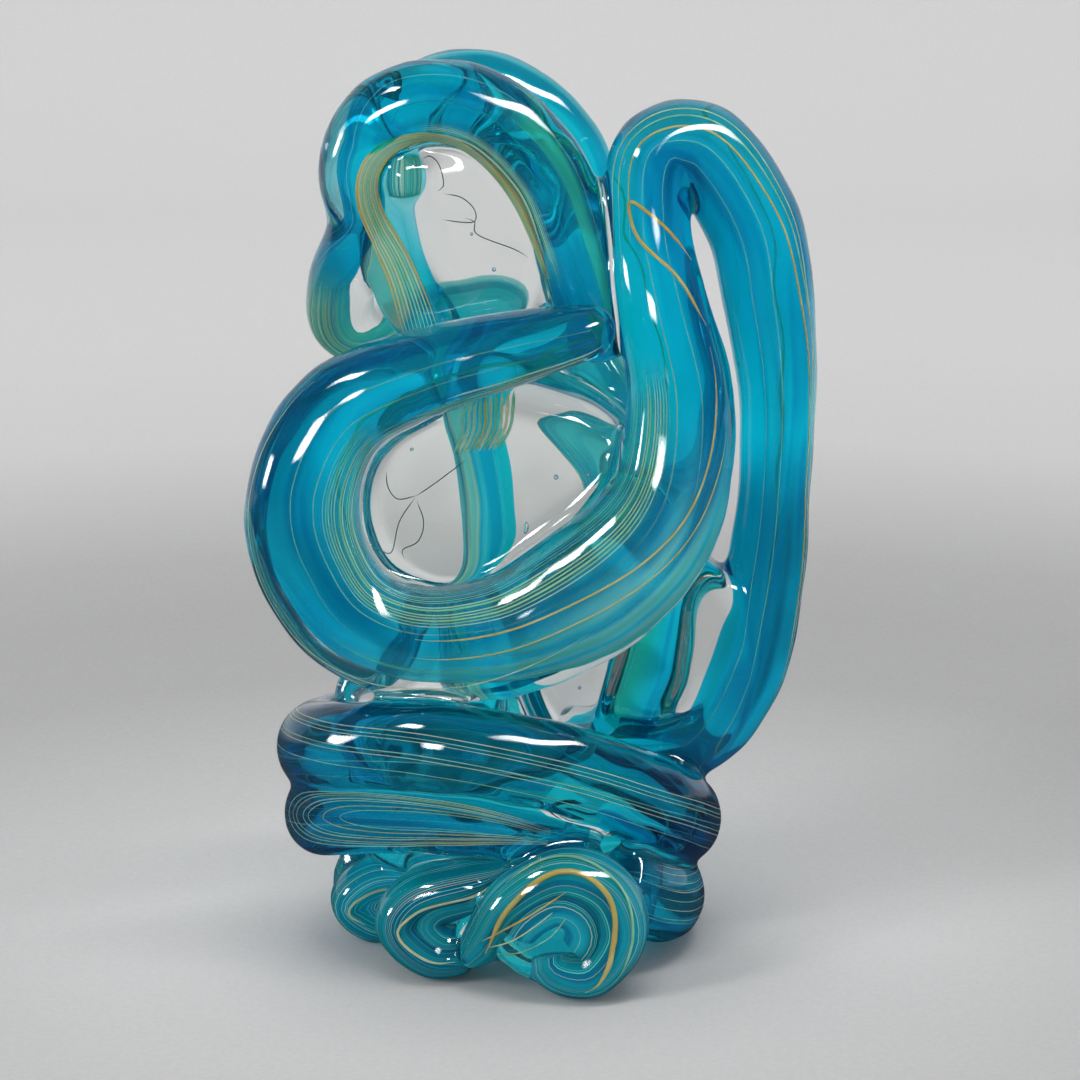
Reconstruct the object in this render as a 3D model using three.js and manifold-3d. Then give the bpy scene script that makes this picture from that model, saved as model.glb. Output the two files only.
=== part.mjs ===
// A standing ornament of hot-worked glass: ropes of glass, folded and looped on themselves.
// Each length of rope is a clear casing round a coloured core, and clear webs fill the loops.
// Millimetres, +Z up, the front towards -Y, the origin on the table under the middle of the foot.
import * as THREE from "three";
import { mergeVertices } from "three/addons/utils/BufferGeometryUtils.js";
import Module from "manifold-3d";

const wasm = await Module();
wasm.setup();

// Layers and clearances
const SEAM = 0.3; // left between any two pieces of glass
const CASING_WALL = 3.2; // clear glass round the coloured core
const PRESS = 2; // how far the clear gather is pressed into the ropes wound round it
const GATHER_SETBACK = 5; // how far the gather's front draws back behind the folds of the foot

// Half sizes of each rope's section: across the plane of its folds, and through that plane
const MAIN_HALF_WIDTH = 11;
const MAIN_HALF_DEPTH = 11.2;
const ARCH_HALF_WIDTH = 9.4;
const ARCH_HALF_DEPTH = 9.8;
const BACK_HALF_WIDTH = 8.3;
const BACK_HALF_DEPTH = 8.6;
const WAIST_HALF_WIDTH = 9.2;
const WAIST_HALF_HEIGHT = 10.6;
const FOOT_HALF_WIDTH = 7.6;
const FOOT_HALF_HEIGHT = 10;
const FRONT_FOLD_HALF_WIDTH = 7.2;
const MIDDLE_FOLD_HALF_WIDTH = 5.6;
const LEFT_FOLD_HALF_WIDTH = 4.7;
const FOLD_HALF_DEPTH = 8.8;

// How far behind the middle (or, below zero, in front of it) each plane of folds lies
const LOOP_DEPTH = -18;
const RISER_DEPTH = 3;
const ARCH_DEPTH = -2;
const BACK_DEPTH = 19;
const SWEEP_DEPTH = 36;

// The waist: a rope wound as a sinking, tilted spiral. One turn starts at the left.
const WAIST_HEIGHT = 45;
const WAIST_RADIUS_X = 42.5;
const WAIST_RADIUS_Y = 34;
const WAIST_CENTRE_X = -7.5;
const WAIST_PITCH = 16; // how far one turn sinks
const WAIST_TILT_LEFT = 4.75; // the left side is lifted by this and the right side lowered
const WAIST_TILT_FRONT = 9.5; // the front is lifted by this and the back lowered
const WAIST_DIP = 3.4; // the sides sag by this against the front and the back
const WAIST_TURNS = { start: -0.3, left: 0, right: 0.5, backLeft: 0.94, end: 1.34 };

// The foot: a ring of rope round the back, standing on the table
const FOOT_HEIGHT = 9.3;
const FOOT_RADIUS_X = 37;
const FOOT_RADIUS_Y = 38;
const FOOT_CENTRE_X = -4;
const FOOT_CENTRE_Y = 3;
const FOOT_RISE = 12; // how far its front end climbs to the waist
const FOOT_SWEEP = { start: -52, end: 174 }; // degrees, from the right round the back to the left

// Faceting
const CASING_SIDES = 10;
const CORE_SIDES = 6;
const WEB_SIDES = 14;
const FACET_LENGTH = 26; // straight rope between two sections
const FACET_TURN = THREE.MathUtils.degToRad(27); // bend between two sections
const CORE_SHARE = 0.5; // where the rope is thin its core keeps this share of the half size

const CLEAR = new THREE.MeshStandardMaterial({
  color: 0xdbe5e1,
  roughness: 0.04,
  metalness: 0,
  transparent: true,
  opacity: 0.35,
});
const BLUE = new THREE.MeshStandardMaterial({ color: 0x0b7db2, roughness: 0.06, metalness: 0 });
const TEAL = new THREE.MeshStandardMaterial({ color: 0x1d9aa3, roughness: 0.06, metalness: 0 });

const DEPTH_AXIS = new THREE.Vector3(0, 1, 0);
const HEIGHT_AXIS = new THREE.Vector3(0, 0, 1);

// A point on the waist's spiral after a number of turns from its left side.
function onWaist(turns) {
  const angle = 2 * Math.PI * turns;
  const tilt = WAIST_TILT_LEFT * Math.cos(angle) + WAIST_TILT_FRONT * Math.sin(angle);
  return [
    WAIST_CENTRE_X - WAIST_RADIUS_X * Math.cos(angle),
    -WAIST_RADIUS_Y * Math.sin(angle),
    WAIST_HEIGHT - WAIST_PITCH * turns + tilt - WAIST_DIP * Math.cos(2 * angle),
  ];
}

// Points along the waist's spiral, with the taper of the rope from one end to the other.
function alongWaist(from, to, count, taperFrom, taperTo) {
  return Array.from({ length: count }, (_, i) => {
    const share = count === 1 ? 1 : i / (count - 1);
    const taper = THREE.MathUtils.lerp(taperFrom, taperTo, share);
    return [...onWaist(THREE.MathUtils.lerp(from, to, share)), taper];
  });
}

// Points round the foot's ring.
function alongFoot(count) {
  return Array.from({ length: count }, (_, i) => {
    const degrees = THREE.MathUtils.lerp(FOOT_SWEEP.start, FOOT_SWEEP.end, i / (count - 1));
    const angle = THREE.MathUtils.degToRad(degrees);
    const climb = Math.max(0, degrees / FOOT_SWEEP.start) ** 1.5;
    return [
      FOOT_CENTRE_X + FOOT_RADIUS_X * Math.cos(angle),
      FOOT_CENTRE_Y + FOOT_RADIUS_Y * Math.sin(angle),
      FOOT_HEIGHT + FOOT_RISE * climb,
      1,
    ];
  });
}

// Points of a fold that stands on the waist: across, behind the fold's plane, above the waist, taper.
function aboveWaist(plane, points) {
  return points.map(([x, behind, above, taper]) => [x, plane + behind, WAIST_HEIGHT + above, taper]);
}

// The ropes, the foremost first: each later piece is pressed against the earlier ones.
// A rope's runs follow one another; each run lists its own points and starts where the last one ended.
const ropes = [
  {
    thick: DEPTH_AXIS,
    halfWidth: MAIN_HALF_WIDTH,
    halfDepth: MAIN_HALF_DEPTH,
    core: BLUE,
    ends: ["cut", "round"],
    runs: [
      {
        name: "riser",
        points: [
          [...onWaist(WAIST_TURNS.start), 0.72],
          [...onWaist(WAIST_TURNS.start - 0.07), 0.74],
          ...aboveWaist(RISER_DEPTH, [
            [38, 7, 0.5, 0.81],
            [48.5, 2, 17, 0.9],
            [53.5, 1, 40, 0.86],
            [55.5, 0, 64, 0.76],
            [55.8, 0, 86, 0.83],
            [53.5, 0, 105, 0.96],
          ]),
        ],
      },
      {
        name: "crown",
        points: aboveWaist(RISER_DEPTH, [
          [49.6, 1, 123, 1],
          [38.5, 2, 138.8, 0.97],
          [27.5, -1, 137.5, 0.92],
          [26, -7, 123, 0.87],
        ]),
      },
      {
        name: "inner_fall",
        points: aboveWaist(LOOP_DEPTH, [
          [28.5, 8, 108, 0.94],
          [33, 5, 87, 1.1],
          [31.5, 3, 68, 1.2],
        ]),
      },
      {
        name: "front_loop_lower",
        points: aboveWaist(LOOP_DEPTH, [
          [25.5, 1, 54.5, 1.34],
          [12.5, -1, 42.5, 1.42],
          [-6, -2, 32.8, 1.27],
          [-26, -2, 31, 1.17],
        ]),
      },
      {
        name: "front_loop_left",
        points: aboveWaist(LOOP_DEPTH, [
          [-42, -1, 38, 1.16],
          [-50.5, 0, 53.5, 1.18],
          [-50, 0, 69.5, 1.13],
          [-41.5, 1, 84, 1.03],
        ]),
      },
      {
        name: "front_loop_upper",
        points: aboveWaist(LOOP_DEPTH, [
          [-23.5, 0, 92.5, 0.9],
          [-4.5, -2, 98, 0.77],
          [9.5, -4, 101.5, 0.6],
          [18.5, -5, 104, 0.52],
        ]),
      },
    ],
  },
  {
    thick: DEPTH_AXIS,
    halfWidth: FRONT_FOLD_HALF_WIDTH,
    halfDepth: FOLD_HALF_DEPTH,
    core: TEAL,
    ends: ["cut", "round"],
    runs: [
      {
        name: "foot_fold_front",
        points: [
          [-14.5, -32, 6, 0.42],
          [-10, -33.5, 11.5, 0.72],
          [-4, -36, 21, 0.88],
          [6.5, -36.5, 27, 0.97],
          [16, -37, 23.5, 1],
          [19, -38, 14.5, 1],
          [13, -39, 6, 0.9],
          [4.5, -39, 7.5, 0.76],
          [4, -38, 14.5, 0.58],
        ],
      },
    ],
  },
  {
    thick: DEPTH_AXIS,
    halfWidth: MIDDLE_FOLD_HALF_WIDTH,
    halfDepth: FOLD_HALF_DEPTH,
    core: TEAL,
    ends: ["cut", "round"],
    runs: [
      {
        name: "foot_fold_middle",
        points: [
          [12, -24, 27, 0.45],
          [-0.5, -26, 24.5, 0.76],
          [-14, -26, 22.5, 0.96],
          [-26, -25, 18.5, 1],
          [-30, -25, 11.5, 1.02],
          [-22.5, -26, 4.8, 0.94],
          [-12, -27, 5.5, 0.72],
        ],
      },
    ],
  },
  {
    thick: DEPTH_AXIS,
    halfWidth: LEFT_FOLD_HALF_WIDTH,
    halfDepth: FOLD_HALF_DEPTH,
    core: TEAL,
    ends: ["cut", "round"],
    runs: [
      {
        name: "foot_fold_left",
        points: [
          [2, -5, 21.5, 0.72],
          [-8, -6, 20.5, 0.92],
          [-23.5, -5.5, 18.5, 0.96],
          [-36.5, -3, 15.5, 1],
          [-42.5, -1, 9.2, 1.05],
          [-36, 0, 3.2, 0.96],
          [-21.5, 0, 3.4, 0.86],
        ],
      },
    ],
  },
  {
    thick: HEIGHT_AXIS,
    halfWidth: WAIST_HALF_WIDTH,
    halfDepth: WAIST_HALF_HEIGHT,
    core: BLUE,
    ends: ["cut", "round"],
    runs: [
      {
        name: "waist_ring_left",
        points: alongWaist(WAIST_TURNS.start, WAIST_TURNS.left, 4, 0.9, 1),
      },
      {
        name: "waist_ring_front",
        points: alongWaist(WAIST_TURNS.left + 0.1, WAIST_TURNS.right, 5, 1, 1),
      },
      {
        name: "waist_ring_back",
        points: alongWaist(WAIST_TURNS.right + 0.1, WAIST_TURNS.backLeft, 4, 0.97, 0.86),
      },
      {
        name: "waist_leaf",
        points: alongWaist(WAIST_TURNS.backLeft + 0.1, WAIST_TURNS.end, 4, 0.82, 0.5),
      },
    ],
  },
  {
    thick: DEPTH_AXIS,
    halfWidth: ARCH_HALF_WIDTH,
    halfDepth: ARCH_HALF_DEPTH,
    core: BLUE,
    ends: ["round", "cut"],
    runs: [
      {
        name: "top_arch",
        points: aboveWaist(ARCH_DEPTH, [
          [17, 2, 92, 0.85],
          [13.5, -1, 106, 0.95],
          [9, -2, 120, 1],
          [3, -1, 135, 1.05],
          [-9, 0, 147, 1.05],
          [-22.5, 1, 150.5, 1],
          [-33.5, 2, 146.5, 0.95],
          [-39.5, 4, 136, 0.9],
          [-39, 8, 122, 0.76],
        ]),
      },
      {
        name: "left_lobe",
        points: aboveWaist(SWEEP_DEPTH, [
          [-43.5, -22, 108, 0.84],
          [-43, -12, 96, 0.84],
          [-31, -2, 93, 0.8],
        ]),
      },
      {
        name: "back_sweep_upper",
        points: aboveWaist(SWEEP_DEPTH, [
          [-14.5, 2, 99.5, 0.76],
          [3, 1, 97.5, 0.76],
          [16, -7, 83.5, 0.76],
        ]),
      },
      {
        name: "back_sweep_lower",
        points: aboveWaist(SWEEP_DEPTH, [
          [25.5, -12, 62, 0.8],
          [30, -15, 39, 0.85],
          [27.5, -20, 19, 0.85],
          [20.5, -26, 2, 0.8],
        ]),
      },
    ],
  },
  {
    thick: HEIGHT_AXIS,
    halfWidth: FOOT_HALF_WIDTH,
    halfDepth: FOOT_HALF_HEIGHT,
    core: TEAL,
    ends: ["cut", "cut"],
    runs: [{ name: "foot_ring", points: alongFoot(9) }],
  },
  {
    thick: DEPTH_AXIS,
    halfWidth: BACK_HALF_WIDTH,
    halfDepth: BACK_HALF_DEPTH,
    core: TEAL,
    ends: ["cut", "cut"],
    runs: [
      {
        name: "back_arch",
        points: aboveWaist(BACK_DEPTH, [
          [15.5, -1, 122.5, 0.85],
          [7, 0, 140.5, 0.97],
          [-9.5, 0, 151.5, 1.02],
          [-25.5, 0, 149, 0.97],
          [-31.5, 0, 135, 0.9],
        ]),
      },
      {
        name: "back_column",
        points: aboveWaist(BACK_DEPTH, [
          [-29, 0, 116.5, 0.9],
          [-21.5, 1, 95.5, 0.96],
          [-12.5, 1, 72, 1.04],
          [-9.5, 0, 48.5, 1.07],
          [-11, -5, 25.5, 1.07],
          [-14.5, -11, 6.5, 0.97],
        ]),
      },
    ],
  },
];

// The clear glass without a core: each is lofted through sections along its own line.
// A section lists its centre, its half size across and its half size along the thick axis.
const clearForms = [
  {
    name: "clear_web_front",
    thick: HEIGHT_AXIS,
    sections: [
      [-8, LOOP_DEPTH + 3, WAIST_HEIGHT + 58, 27, 23],
      [-8, LOOP_DEPTH + 8, WAIST_HEIGHT + 57, 33, 29],
      [-8, BACK_DEPTH - 22, WAIST_HEIGHT + 57, 35, 31],
      [-8, BACK_DEPTH - 13, WAIST_HEIGHT + 57, 36, 32],
      [-8, BACK_DEPTH - 4, WAIST_HEIGHT + 57, 36, 32],
      [-8, BACK_DEPTH + 4, WAIST_HEIGHT + 57, 34, 30],
      [-8, BACK_DEPTH + 9, WAIST_HEIGHT + 57, 28, 25],
    ],
  },
  {
    name: "clear_web_top",
    thick: HEIGHT_AXIS,
    sections: [
      [-17, ARCH_DEPTH - 4.5, WAIST_HEIGHT + 117, 17, 20],
      [-16.5, ARCH_DEPTH - 1, WAIST_HEIGHT + 117, 20.5, 24.5],
      [-16, ARCH_DEPTH + 5, WAIST_HEIGHT + 117, 21.5, 26],
      [-14.5, BACK_DEPTH - 9, WAIST_HEIGHT + 118, 21.5, 26],
      [-13, BACK_DEPTH - 2, WAIST_HEIGHT + 118, 20.5, 25],
      [-12, BACK_DEPTH + 3, WAIST_HEIGHT + 118, 16, 20],
    ],
  },
  {
    name: "clear_web_right",
    thick: HEIGHT_AXIS,
    sections: [
      [36, LOOP_DEPTH + 7, WAIST_HEIGHT + 27, 11, 22],
      [36, LOOP_DEPTH + 11, WAIST_HEIGHT + 27, 14, 25],
      [36, RISER_DEPTH - 4, WAIST_HEIGHT + 27, 14.4, 25.4],
      [36, RISER_DEPTH + 3, WAIST_HEIGHT + 27, 14.4, 25.4],
      [36, SWEEP_DEPTH - 24, WAIST_HEIGHT + 27, 14, 25],
      [36, SWEEP_DEPTH - 20, WAIST_HEIGHT + 27, 11, 22],
    ],
  },
  {
    name: "clear_gather",
    thick: DEPTH_AXIS,
    sections: [
      [
        FOOT_CENTRE_X,
        FOOT_CENTRE_Y + GATHER_SETBACK,
        0,
        FOOT_RADIUS_X - FOOT_HALF_WIDTH + PRESS,
        FOOT_RADIUS_Y - FOOT_HALF_WIDTH + PRESS - GATHER_SETBACK,
      ],
      [
        FOOT_CENTRE_X,
        FOOT_CENTRE_Y + GATHER_SETBACK,
        FOOT_HEIGHT + FOOT_HALF_HEIGHT,
        FOOT_RADIUS_X - FOOT_HALF_WIDTH + PRESS,
        FOOT_RADIUS_Y - FOOT_HALF_WIDTH + PRESS - GATHER_SETBACK,
      ],
      [
        WAIST_CENTRE_X,
        0,
        WAIST_HEIGHT,
        WAIST_RADIUS_X - WAIST_HALF_WIDTH + PRESS,
        WAIST_RADIUS_Y - WAIST_HALF_WIDTH + PRESS,
      ],
      [WAIST_CENTRE_X - 2, LOOP_DEPTH + 6, WAIST_HEIGHT + 16, 36, 8],
      [WAIST_CENTRE_X - 4, LOOP_DEPTH + 4, WAIST_HEIGHT + 32, 30, 6],
    ],
  },
];

// A closed mesh as a solid that can be joined and cut.
function solidFrom(geometry) {
  const bare = geometry.clone();
  bare.deleteAttribute("normal");
  bare.deleteAttribute("uv");
  const merged = mergeVertices(bare, 1e-4);
  return new wasm.Manifold(
    new wasm.Mesh({
      numProp: 3,
      vertProperties: new Float32Array(merged.attributes.position.array),
      triVerts: new Uint32Array(merged.index.array),
    }),
  );
}

function geometryFrom(solid) {
  const mesh = solid.getMesh();
  const geometry = new THREE.BufferGeometry();
  geometry.setAttribute("position", new THREE.BufferAttribute(mesh.vertProperties, 3));
  geometry.setIndex(new THREE.BufferAttribute(mesh.triVerts, 1));
  geometry.computeVertexNormals();
  return geometry;
}

// Where a cut leaves crumbs, the piece is its largest body.
function largestBody(solid) {
  return solid.decompose().reduce((best, body) => (body.volume() > best.volume() ? body : best));
}

// The line of a rope and the half sizes of its section, both as curves over the same points.
function layOut(rope) {
  const points = rope.runs.flatMap((run) => run.points);
  const places = points.map(([x, y, z]) => new THREE.Vector3(x, y, z));
  const halves = points.map(
    (point) =>
      new THREE.Vector3(rope.halfWidth * point[3], rope.halfDepth * Math.sqrt(point[3]), 0),
  );
  const line = new THREE.CatmullRomCurve3(places, false, "catmullrom", 0.5);
  const girth = new THREE.CatmullRomCurve3(halves, false, "catmullrom", 0.5);
  return { line, girth, thick: rope.thick };
}

// Millimetres of rope for each unit of the curve's parameter, at one place.
function pace(form, t) {
  const step = 0.002;
  const before = Math.max(0, t - step);
  const after = Math.min(1, t + step);
  return form.line.getPoint(before).distanceTo(form.line.getPoint(after)) / (after - before);
}

// Places between two ends of a stretch, closer together where the rope bends.
function spread(form, from, to) {
  const pieces = 60;
  const places = Array.from({ length: pieces + 1 }, (_, i) => THREE.MathUtils.lerp(from, to, i / pieces));
  const points = places.map((t) => form.line.getPoint(t));
  const tangents = places.map((t) => form.line.getTangent(t));
  const wear = [0];
  for (let i = 1; i <= pieces; i += 1) {
    const length = points[i].distanceTo(points[i - 1]) / FACET_LENGTH;
    const turn = tangents[i].angleTo(tangents[i - 1]) / FACET_TURN;
    wear.push(wear[i - 1] + length + turn);
  }
  const steps = Math.max(2, Math.round(wear[pieces]));
  return Array.from({ length: steps + 1 }, (_, k) => {
    const wanted = (wear[pieces] * k) / steps;
    const after = Math.max(1, wear.findIndex((value) => value >= wanted - 1e-9));
    const share = (wanted - wear[after - 1]) / (wear[after] - wear[after - 1]);
    return THREE.MathUtils.lerp(places[after - 1], places[after], share);
  });
}

// The sections of a stretch of rope: place on the curve, scale of the section, shift along the line.
// A round end draws the section in over half the rope's width.
function stations(form, from, to, roundFrom, roundTo) {
  const roundness = [0.03, 0.2, 0.5];
  const dome = (t) => form.girth.getPoint(t).x / pace(form, t);
  const first = roundFrom ? from + dome(from) : from;
  const last = roundTo ? to - dome(to) : to;
  const drawnIn = (share) => Math.sqrt(1 - (1 - share) ** 2);
  const list = spread(form, first, last).map((t) => ({ t, scale: 1, shift: 0 }));
  const domeFrom = roundness.map((share) => ({
    t: THREE.MathUtils.lerp(from, first, share),
    scale: drawnIn(share),
    shift: 0,
  }));
  const domeTo = [...roundness].reverse().map((share) => ({
    t: THREE.MathUtils.lerp(to, last, share),
    scale: drawnIn(share),
    shift: 0,
  }));
  return [...(roundFrom ? domeFrom : []), ...list, ...(roundTo ? domeTo : [])];
}

// A closed loft: an ellipse carried along the line, its sizes given for each section.
function loft(rings, sides) {
  const positions = [];
  const faces = [];
  rings.forEach(({ centre, across, through, halfWidth, halfDepth }) => {
    for (let j = 0; j < sides; j += 1) {
      const angle = (2 * Math.PI * (j + 0.5)) / sides;
      const point = centre
        .clone()
        .addScaledVector(across, halfWidth * Math.cos(angle))
        .addScaledVector(through, halfDepth * Math.sin(angle));
      positions.push(point.x, point.y, point.z);
    }
  });
  const last = rings.length - 1;
  for (let i = 0; i < last; i += 1) {
    for (let j = 0; j < sides; j += 1) {
      const next = (j + 1) % sides;
      const a = i * sides + j;
      const b = i * sides + next;
      faces.push(a, a + sides, b, b, a + sides, b + sides);
    }
  }
  const startCentre = positions.length / 3;
  const endCentre = startCentre + 1;
  positions.push(...rings[0].centre.toArray(), ...rings[last].centre.toArray());
  for (let j = 0; j < sides; j += 1) {
    const next = (j + 1) % sides;
    faces.push(startCentre, j, next);
    faces.push(endCentre, last * sides + next, last * sides + j);
  }
  const geometry = new THREE.BufferGeometry();
  geometry.setAttribute("position", new THREE.Float32BufferAttribute(positions, 3));
  geometry.setIndex(faces);
  return geometry;
}

// The ellipse of one station: across and through are square to the line.
function ringAt(form, station, resize) {
  const tangent = form.line.getTangent(station.t);
  const through = form.thick.clone().addScaledVector(tangent, -form.thick.dot(tangent)).normalize();
  const half = form.girth.getPoint(station.t);
  return {
    centre: form.line.getPoint(station.t).addScaledVector(tangent, station.shift),
    across: new THREE.Vector3().crossVectors(tangent, through),
    through,
    halfWidth: resize(half.x) * station.scale,
    halfDepth: resize(half.y) * station.scale,
  };
}

const boreHalf = (half) => Math.max(half - CASING_WALL, half * CORE_SHARE);
const coreHalf = (half) => boreHalf(half) - SEAM;

// One run of rope between two places on its curve: casing, core, and the space that it takes up.
function makeRun(form, from, to, roundFrom, roundTo) {
  const trim = (t) => SEAM / 2 / pace(form, t);
  const start = from + trim(from);
  const end = to - trim(to);
  const casingStations = stations(form, start, end, roundFrom, roundTo);
  const solidOf = (list, sides, resize) =>
    solidFrom(
      loft(
        list.map((station) => ringAt(form, station, resize)),
        sides,
      ),
    );
  const outer = solidOf(casingStations, CASING_SIDES, (half) => half);
  const space = solidOf(casingStations, CASING_SIDES, (half) => half + SEAM);

  const pocket = (t) => (CASING_WALL + form.girth.getPoint(t).x / 2) / pace(form, t);
  const boreStart = roundFrom ? start + pocket(start) : start;
  const boreEnd = roundTo ? end - pocket(end) : end;
  const inner = stations(form, boreStart, boreEnd, false, false);
  const innerEnd = inner.at(-1);
  const boreStations = [...inner];
  if (!roundFrom) boreStations.unshift({ ...inner[0], shift: -1 });
  if (!roundTo) boreStations.push({ ...innerEnd, shift: 1 });
  const bore = solidOf(boreStations, CORE_SIDES, boreHalf);

  // The core fills the bore from end to end, clear of a closed end by the seam.
  const coreStations = inner.map((station) => {
    if (station === inner[0] && roundFrom) return { ...station, shift: SEAM };
    if (station === innerEnd && roundTo) return { ...station, shift: -SEAM };
    return station;
  });
  const core = solidOf(coreStations, CORE_SIDES, coreHalf);
  return { casing: outer.subtract(bore), core, space };
}

// A clear form: the ellipses of its sections, blended along the line through their centres.
function makeClearForm(form) {
  const centres = form.sections.map(([x, y, z]) => new THREE.Vector3(x, y, z));
  const halves = form.sections.map((section) => new THREE.Vector3(section[3], section[4], 0));
  const shape = {
    line: new THREE.CatmullRomCurve3(centres, false, "catmullrom", 0.5),
    girth: new THREE.CatmullRomCurve3(halves, false, "catmullrom", 0.5),
    thick: form.thick,
  };
  const list = stations(shape, 0, 1, false, false);
  const rings = list.map((station) => ringAt(shape, station, (half) => half));
  const widened = list.map((station) => ringAt(shape, station, (half) => half + SEAM));
  return { body: solidFrom(loft(rings, WEB_SIDES)), space: solidFrom(loft(widened, WEB_SIDES)) };
}

// The table that the foot is ground flat on, larger than the ornament every way.
const TABLE_SPAN = 400;
const table = solidFrom(
  new THREE.BoxGeometry(TABLE_SPAN, TABLE_SPAN, TABLE_SPAN).translate(0, 0, -TABLE_SPAN / 2),
);

const ornament = new THREE.Group();
ornament.name = "glass_sculpture";
const taken = [];

// What a piece keeps of itself: it stands on the table and gives way to the pieces made before it.
function pressed(solid) {
  const kept = taken.reduce((rest, space) => rest.subtract(space), solid.subtract(table));
  return largestBody(kept);
}

function addMesh(group, name, solid, material) {
  const mesh = new THREE.Mesh(geometryFrom(solid), material);
  mesh.name = name;
  group.add(mesh);
}

ropes.forEach((rope) => {
  const form = layOut(rope);
  const group = new THREE.Group();
  const lastPoint = rope.runs.reduce((count, run) => count + run.points.length, 0) - 1;
  let from = 0;
  let passed = 0;
  rope.runs.forEach((run, i) => {
    passed += run.points.length;
    const to = (passed - 1) / lastPoint;
    const roundFrom = i === 0 && rope.ends[0] === "round";
    const roundTo = i === rope.runs.length - 1 && rope.ends[1] === "round";
    const { casing, core, space } = makeRun(form, from, to, roundFrom, roundTo);
    addMesh(group, `${run.name}_casing`, pressed(casing), CLEAR);
    addMesh(group, `${run.name}_core`, pressed(core), rope.core);
    taken.push(space);
    from = to;
  });
  ornament.add(group);
});

clearForms.forEach((form) => {
  const { body, space } = makeClearForm(form);
  addMesh(ornament, form.name, pressed(body), CLEAR);
  taken.push(space);
});

export default ornament;
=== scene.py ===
"""Looks of a standing ornament of hot-worked glass: folded and looped rope, fused where it touches itself.

The clear glass is one fused skin over all the ropes and webs. Inside it lie the coloured cores and the
fine trails of amber, cream and green glass. Sizes are millimetres until a mesh is made.
"""
import math

import bmesh
import bpy
import numpy as np
from mathutils import Matrix, Vector


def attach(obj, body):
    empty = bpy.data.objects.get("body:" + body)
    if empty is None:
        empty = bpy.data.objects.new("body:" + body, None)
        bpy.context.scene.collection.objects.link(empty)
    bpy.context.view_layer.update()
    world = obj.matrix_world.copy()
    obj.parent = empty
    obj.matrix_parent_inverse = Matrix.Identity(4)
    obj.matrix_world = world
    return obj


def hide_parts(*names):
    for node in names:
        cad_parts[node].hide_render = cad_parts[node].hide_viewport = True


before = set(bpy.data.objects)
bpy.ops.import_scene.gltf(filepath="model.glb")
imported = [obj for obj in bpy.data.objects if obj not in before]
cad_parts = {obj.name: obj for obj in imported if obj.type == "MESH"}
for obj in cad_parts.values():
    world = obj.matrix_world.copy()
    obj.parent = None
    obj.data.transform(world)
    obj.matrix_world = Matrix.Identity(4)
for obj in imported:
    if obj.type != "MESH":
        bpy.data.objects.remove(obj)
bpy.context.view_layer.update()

MM = 0.001
BODY = "root"

# Camera: it looks along +Y, tilted down, at the distance where the ornament has its size in the picture
VIEW_TILT = math.radians(13)
VIEW_DISTANCE = 800
VIEW_SCALE = 0.235  # millimetres for one pixel of the 1080 pixel frame, at that distance
VIEW_PIXELS = 1080
SENSOR = 36
ORIGIN_PIXEL = (532, 935)  # where the ornament's origin lies in the frame

# The same routes as the solids: across, depth, height, taper of the section
MAIN_HALF = (11, 11.2)
ARCH_HALF = (9.4, 9.8)
BACK_HALF = (8.3, 8.6)
WAIST_HALF = (9.2, 10.6)
FOOT_HALF = (7.6, 10)
FRONT_FOLD_HALF = (7.2, 8.8)
MIDDLE_FOLD_HALF = (5.6, 8.8)
LEFT_FOLD_HALF = (4.7, 8.8)
LOOP_DEPTH = -18
RISER_DEPTH = 3
ARCH_DEPTH = -2
BACK_DEPTH = 19
SWEEP_DEPTH = 36
WAIST_HEIGHT = 45
WAIST_START = -0.3
WAIST_END = 1.34
WAIST_MIDDLE = -7.5
WAIST_RADII = (42.5, 34)
WAIST_FALL = 16  # how far the waist rope falls in one turn
WAIST_SWAY = (4.75, 9.5, 3.4)
FOOT_HEIGHT = 9.3
FOOT_MIDDLE = (-4, 3)
FOOT_RADII = (37, 38)
FOOT_ARC = (-52, 174)  # degrees, from the raised right end round the back to the left
FOOT_CLIMB = 12
DEPTH_AXIS = np.array([0.0, 1.0, 0.0])
HEIGHT_AXIS = np.array([0.0, 0.0, 1.0])

LINE_FINENESS = 40
RING_STEP = 1.6
RING_LEAST = 8  # rings in the shortest rope
DOME_LEAST = 0.02
CASING_SIDES = 40
FORM_SIDES = 64
FORM_FINENESS = 14
CORE_SIDES = 56
CORE_INSET = 0.01  # share of a rope's length that its core stops short of each end
FUSE_VOXEL = 1.0
FUSE_SMOOTHING = 20
POLISH_ROUNDS = 6
WAVE_HEIGHT = 0.22
WAVE_LENGTHS = (17.0, 23.0, 31.0)
WAVE_LEAN = 0.4


def on_waist(turns):
    """A point of the waist rope, which falls and sways as it goes round."""
    angle = 2 * math.pi * turns
    height = WAIST_HEIGHT - WAIST_FALL * turns
    sway = height + WAIST_SWAY[0] * math.cos(angle) + WAIST_SWAY[1] * math.sin(angle)
    return [
        WAIST_MIDDLE - WAIST_RADII[0] * math.cos(angle),
        -WAIST_RADII[1] * math.sin(angle),
        sway - WAIST_SWAY[2] * math.cos(2 * angle),
    ]


def along_waist(first, last, count, taper_first, taper_last):
    rows = []
    for share in np.linspace(0, 1, count):
        taper = taper_first + (taper_last - taper_first) * share
        rows.append([*on_waist(first + (last - first) * share), taper])
    return rows


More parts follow.
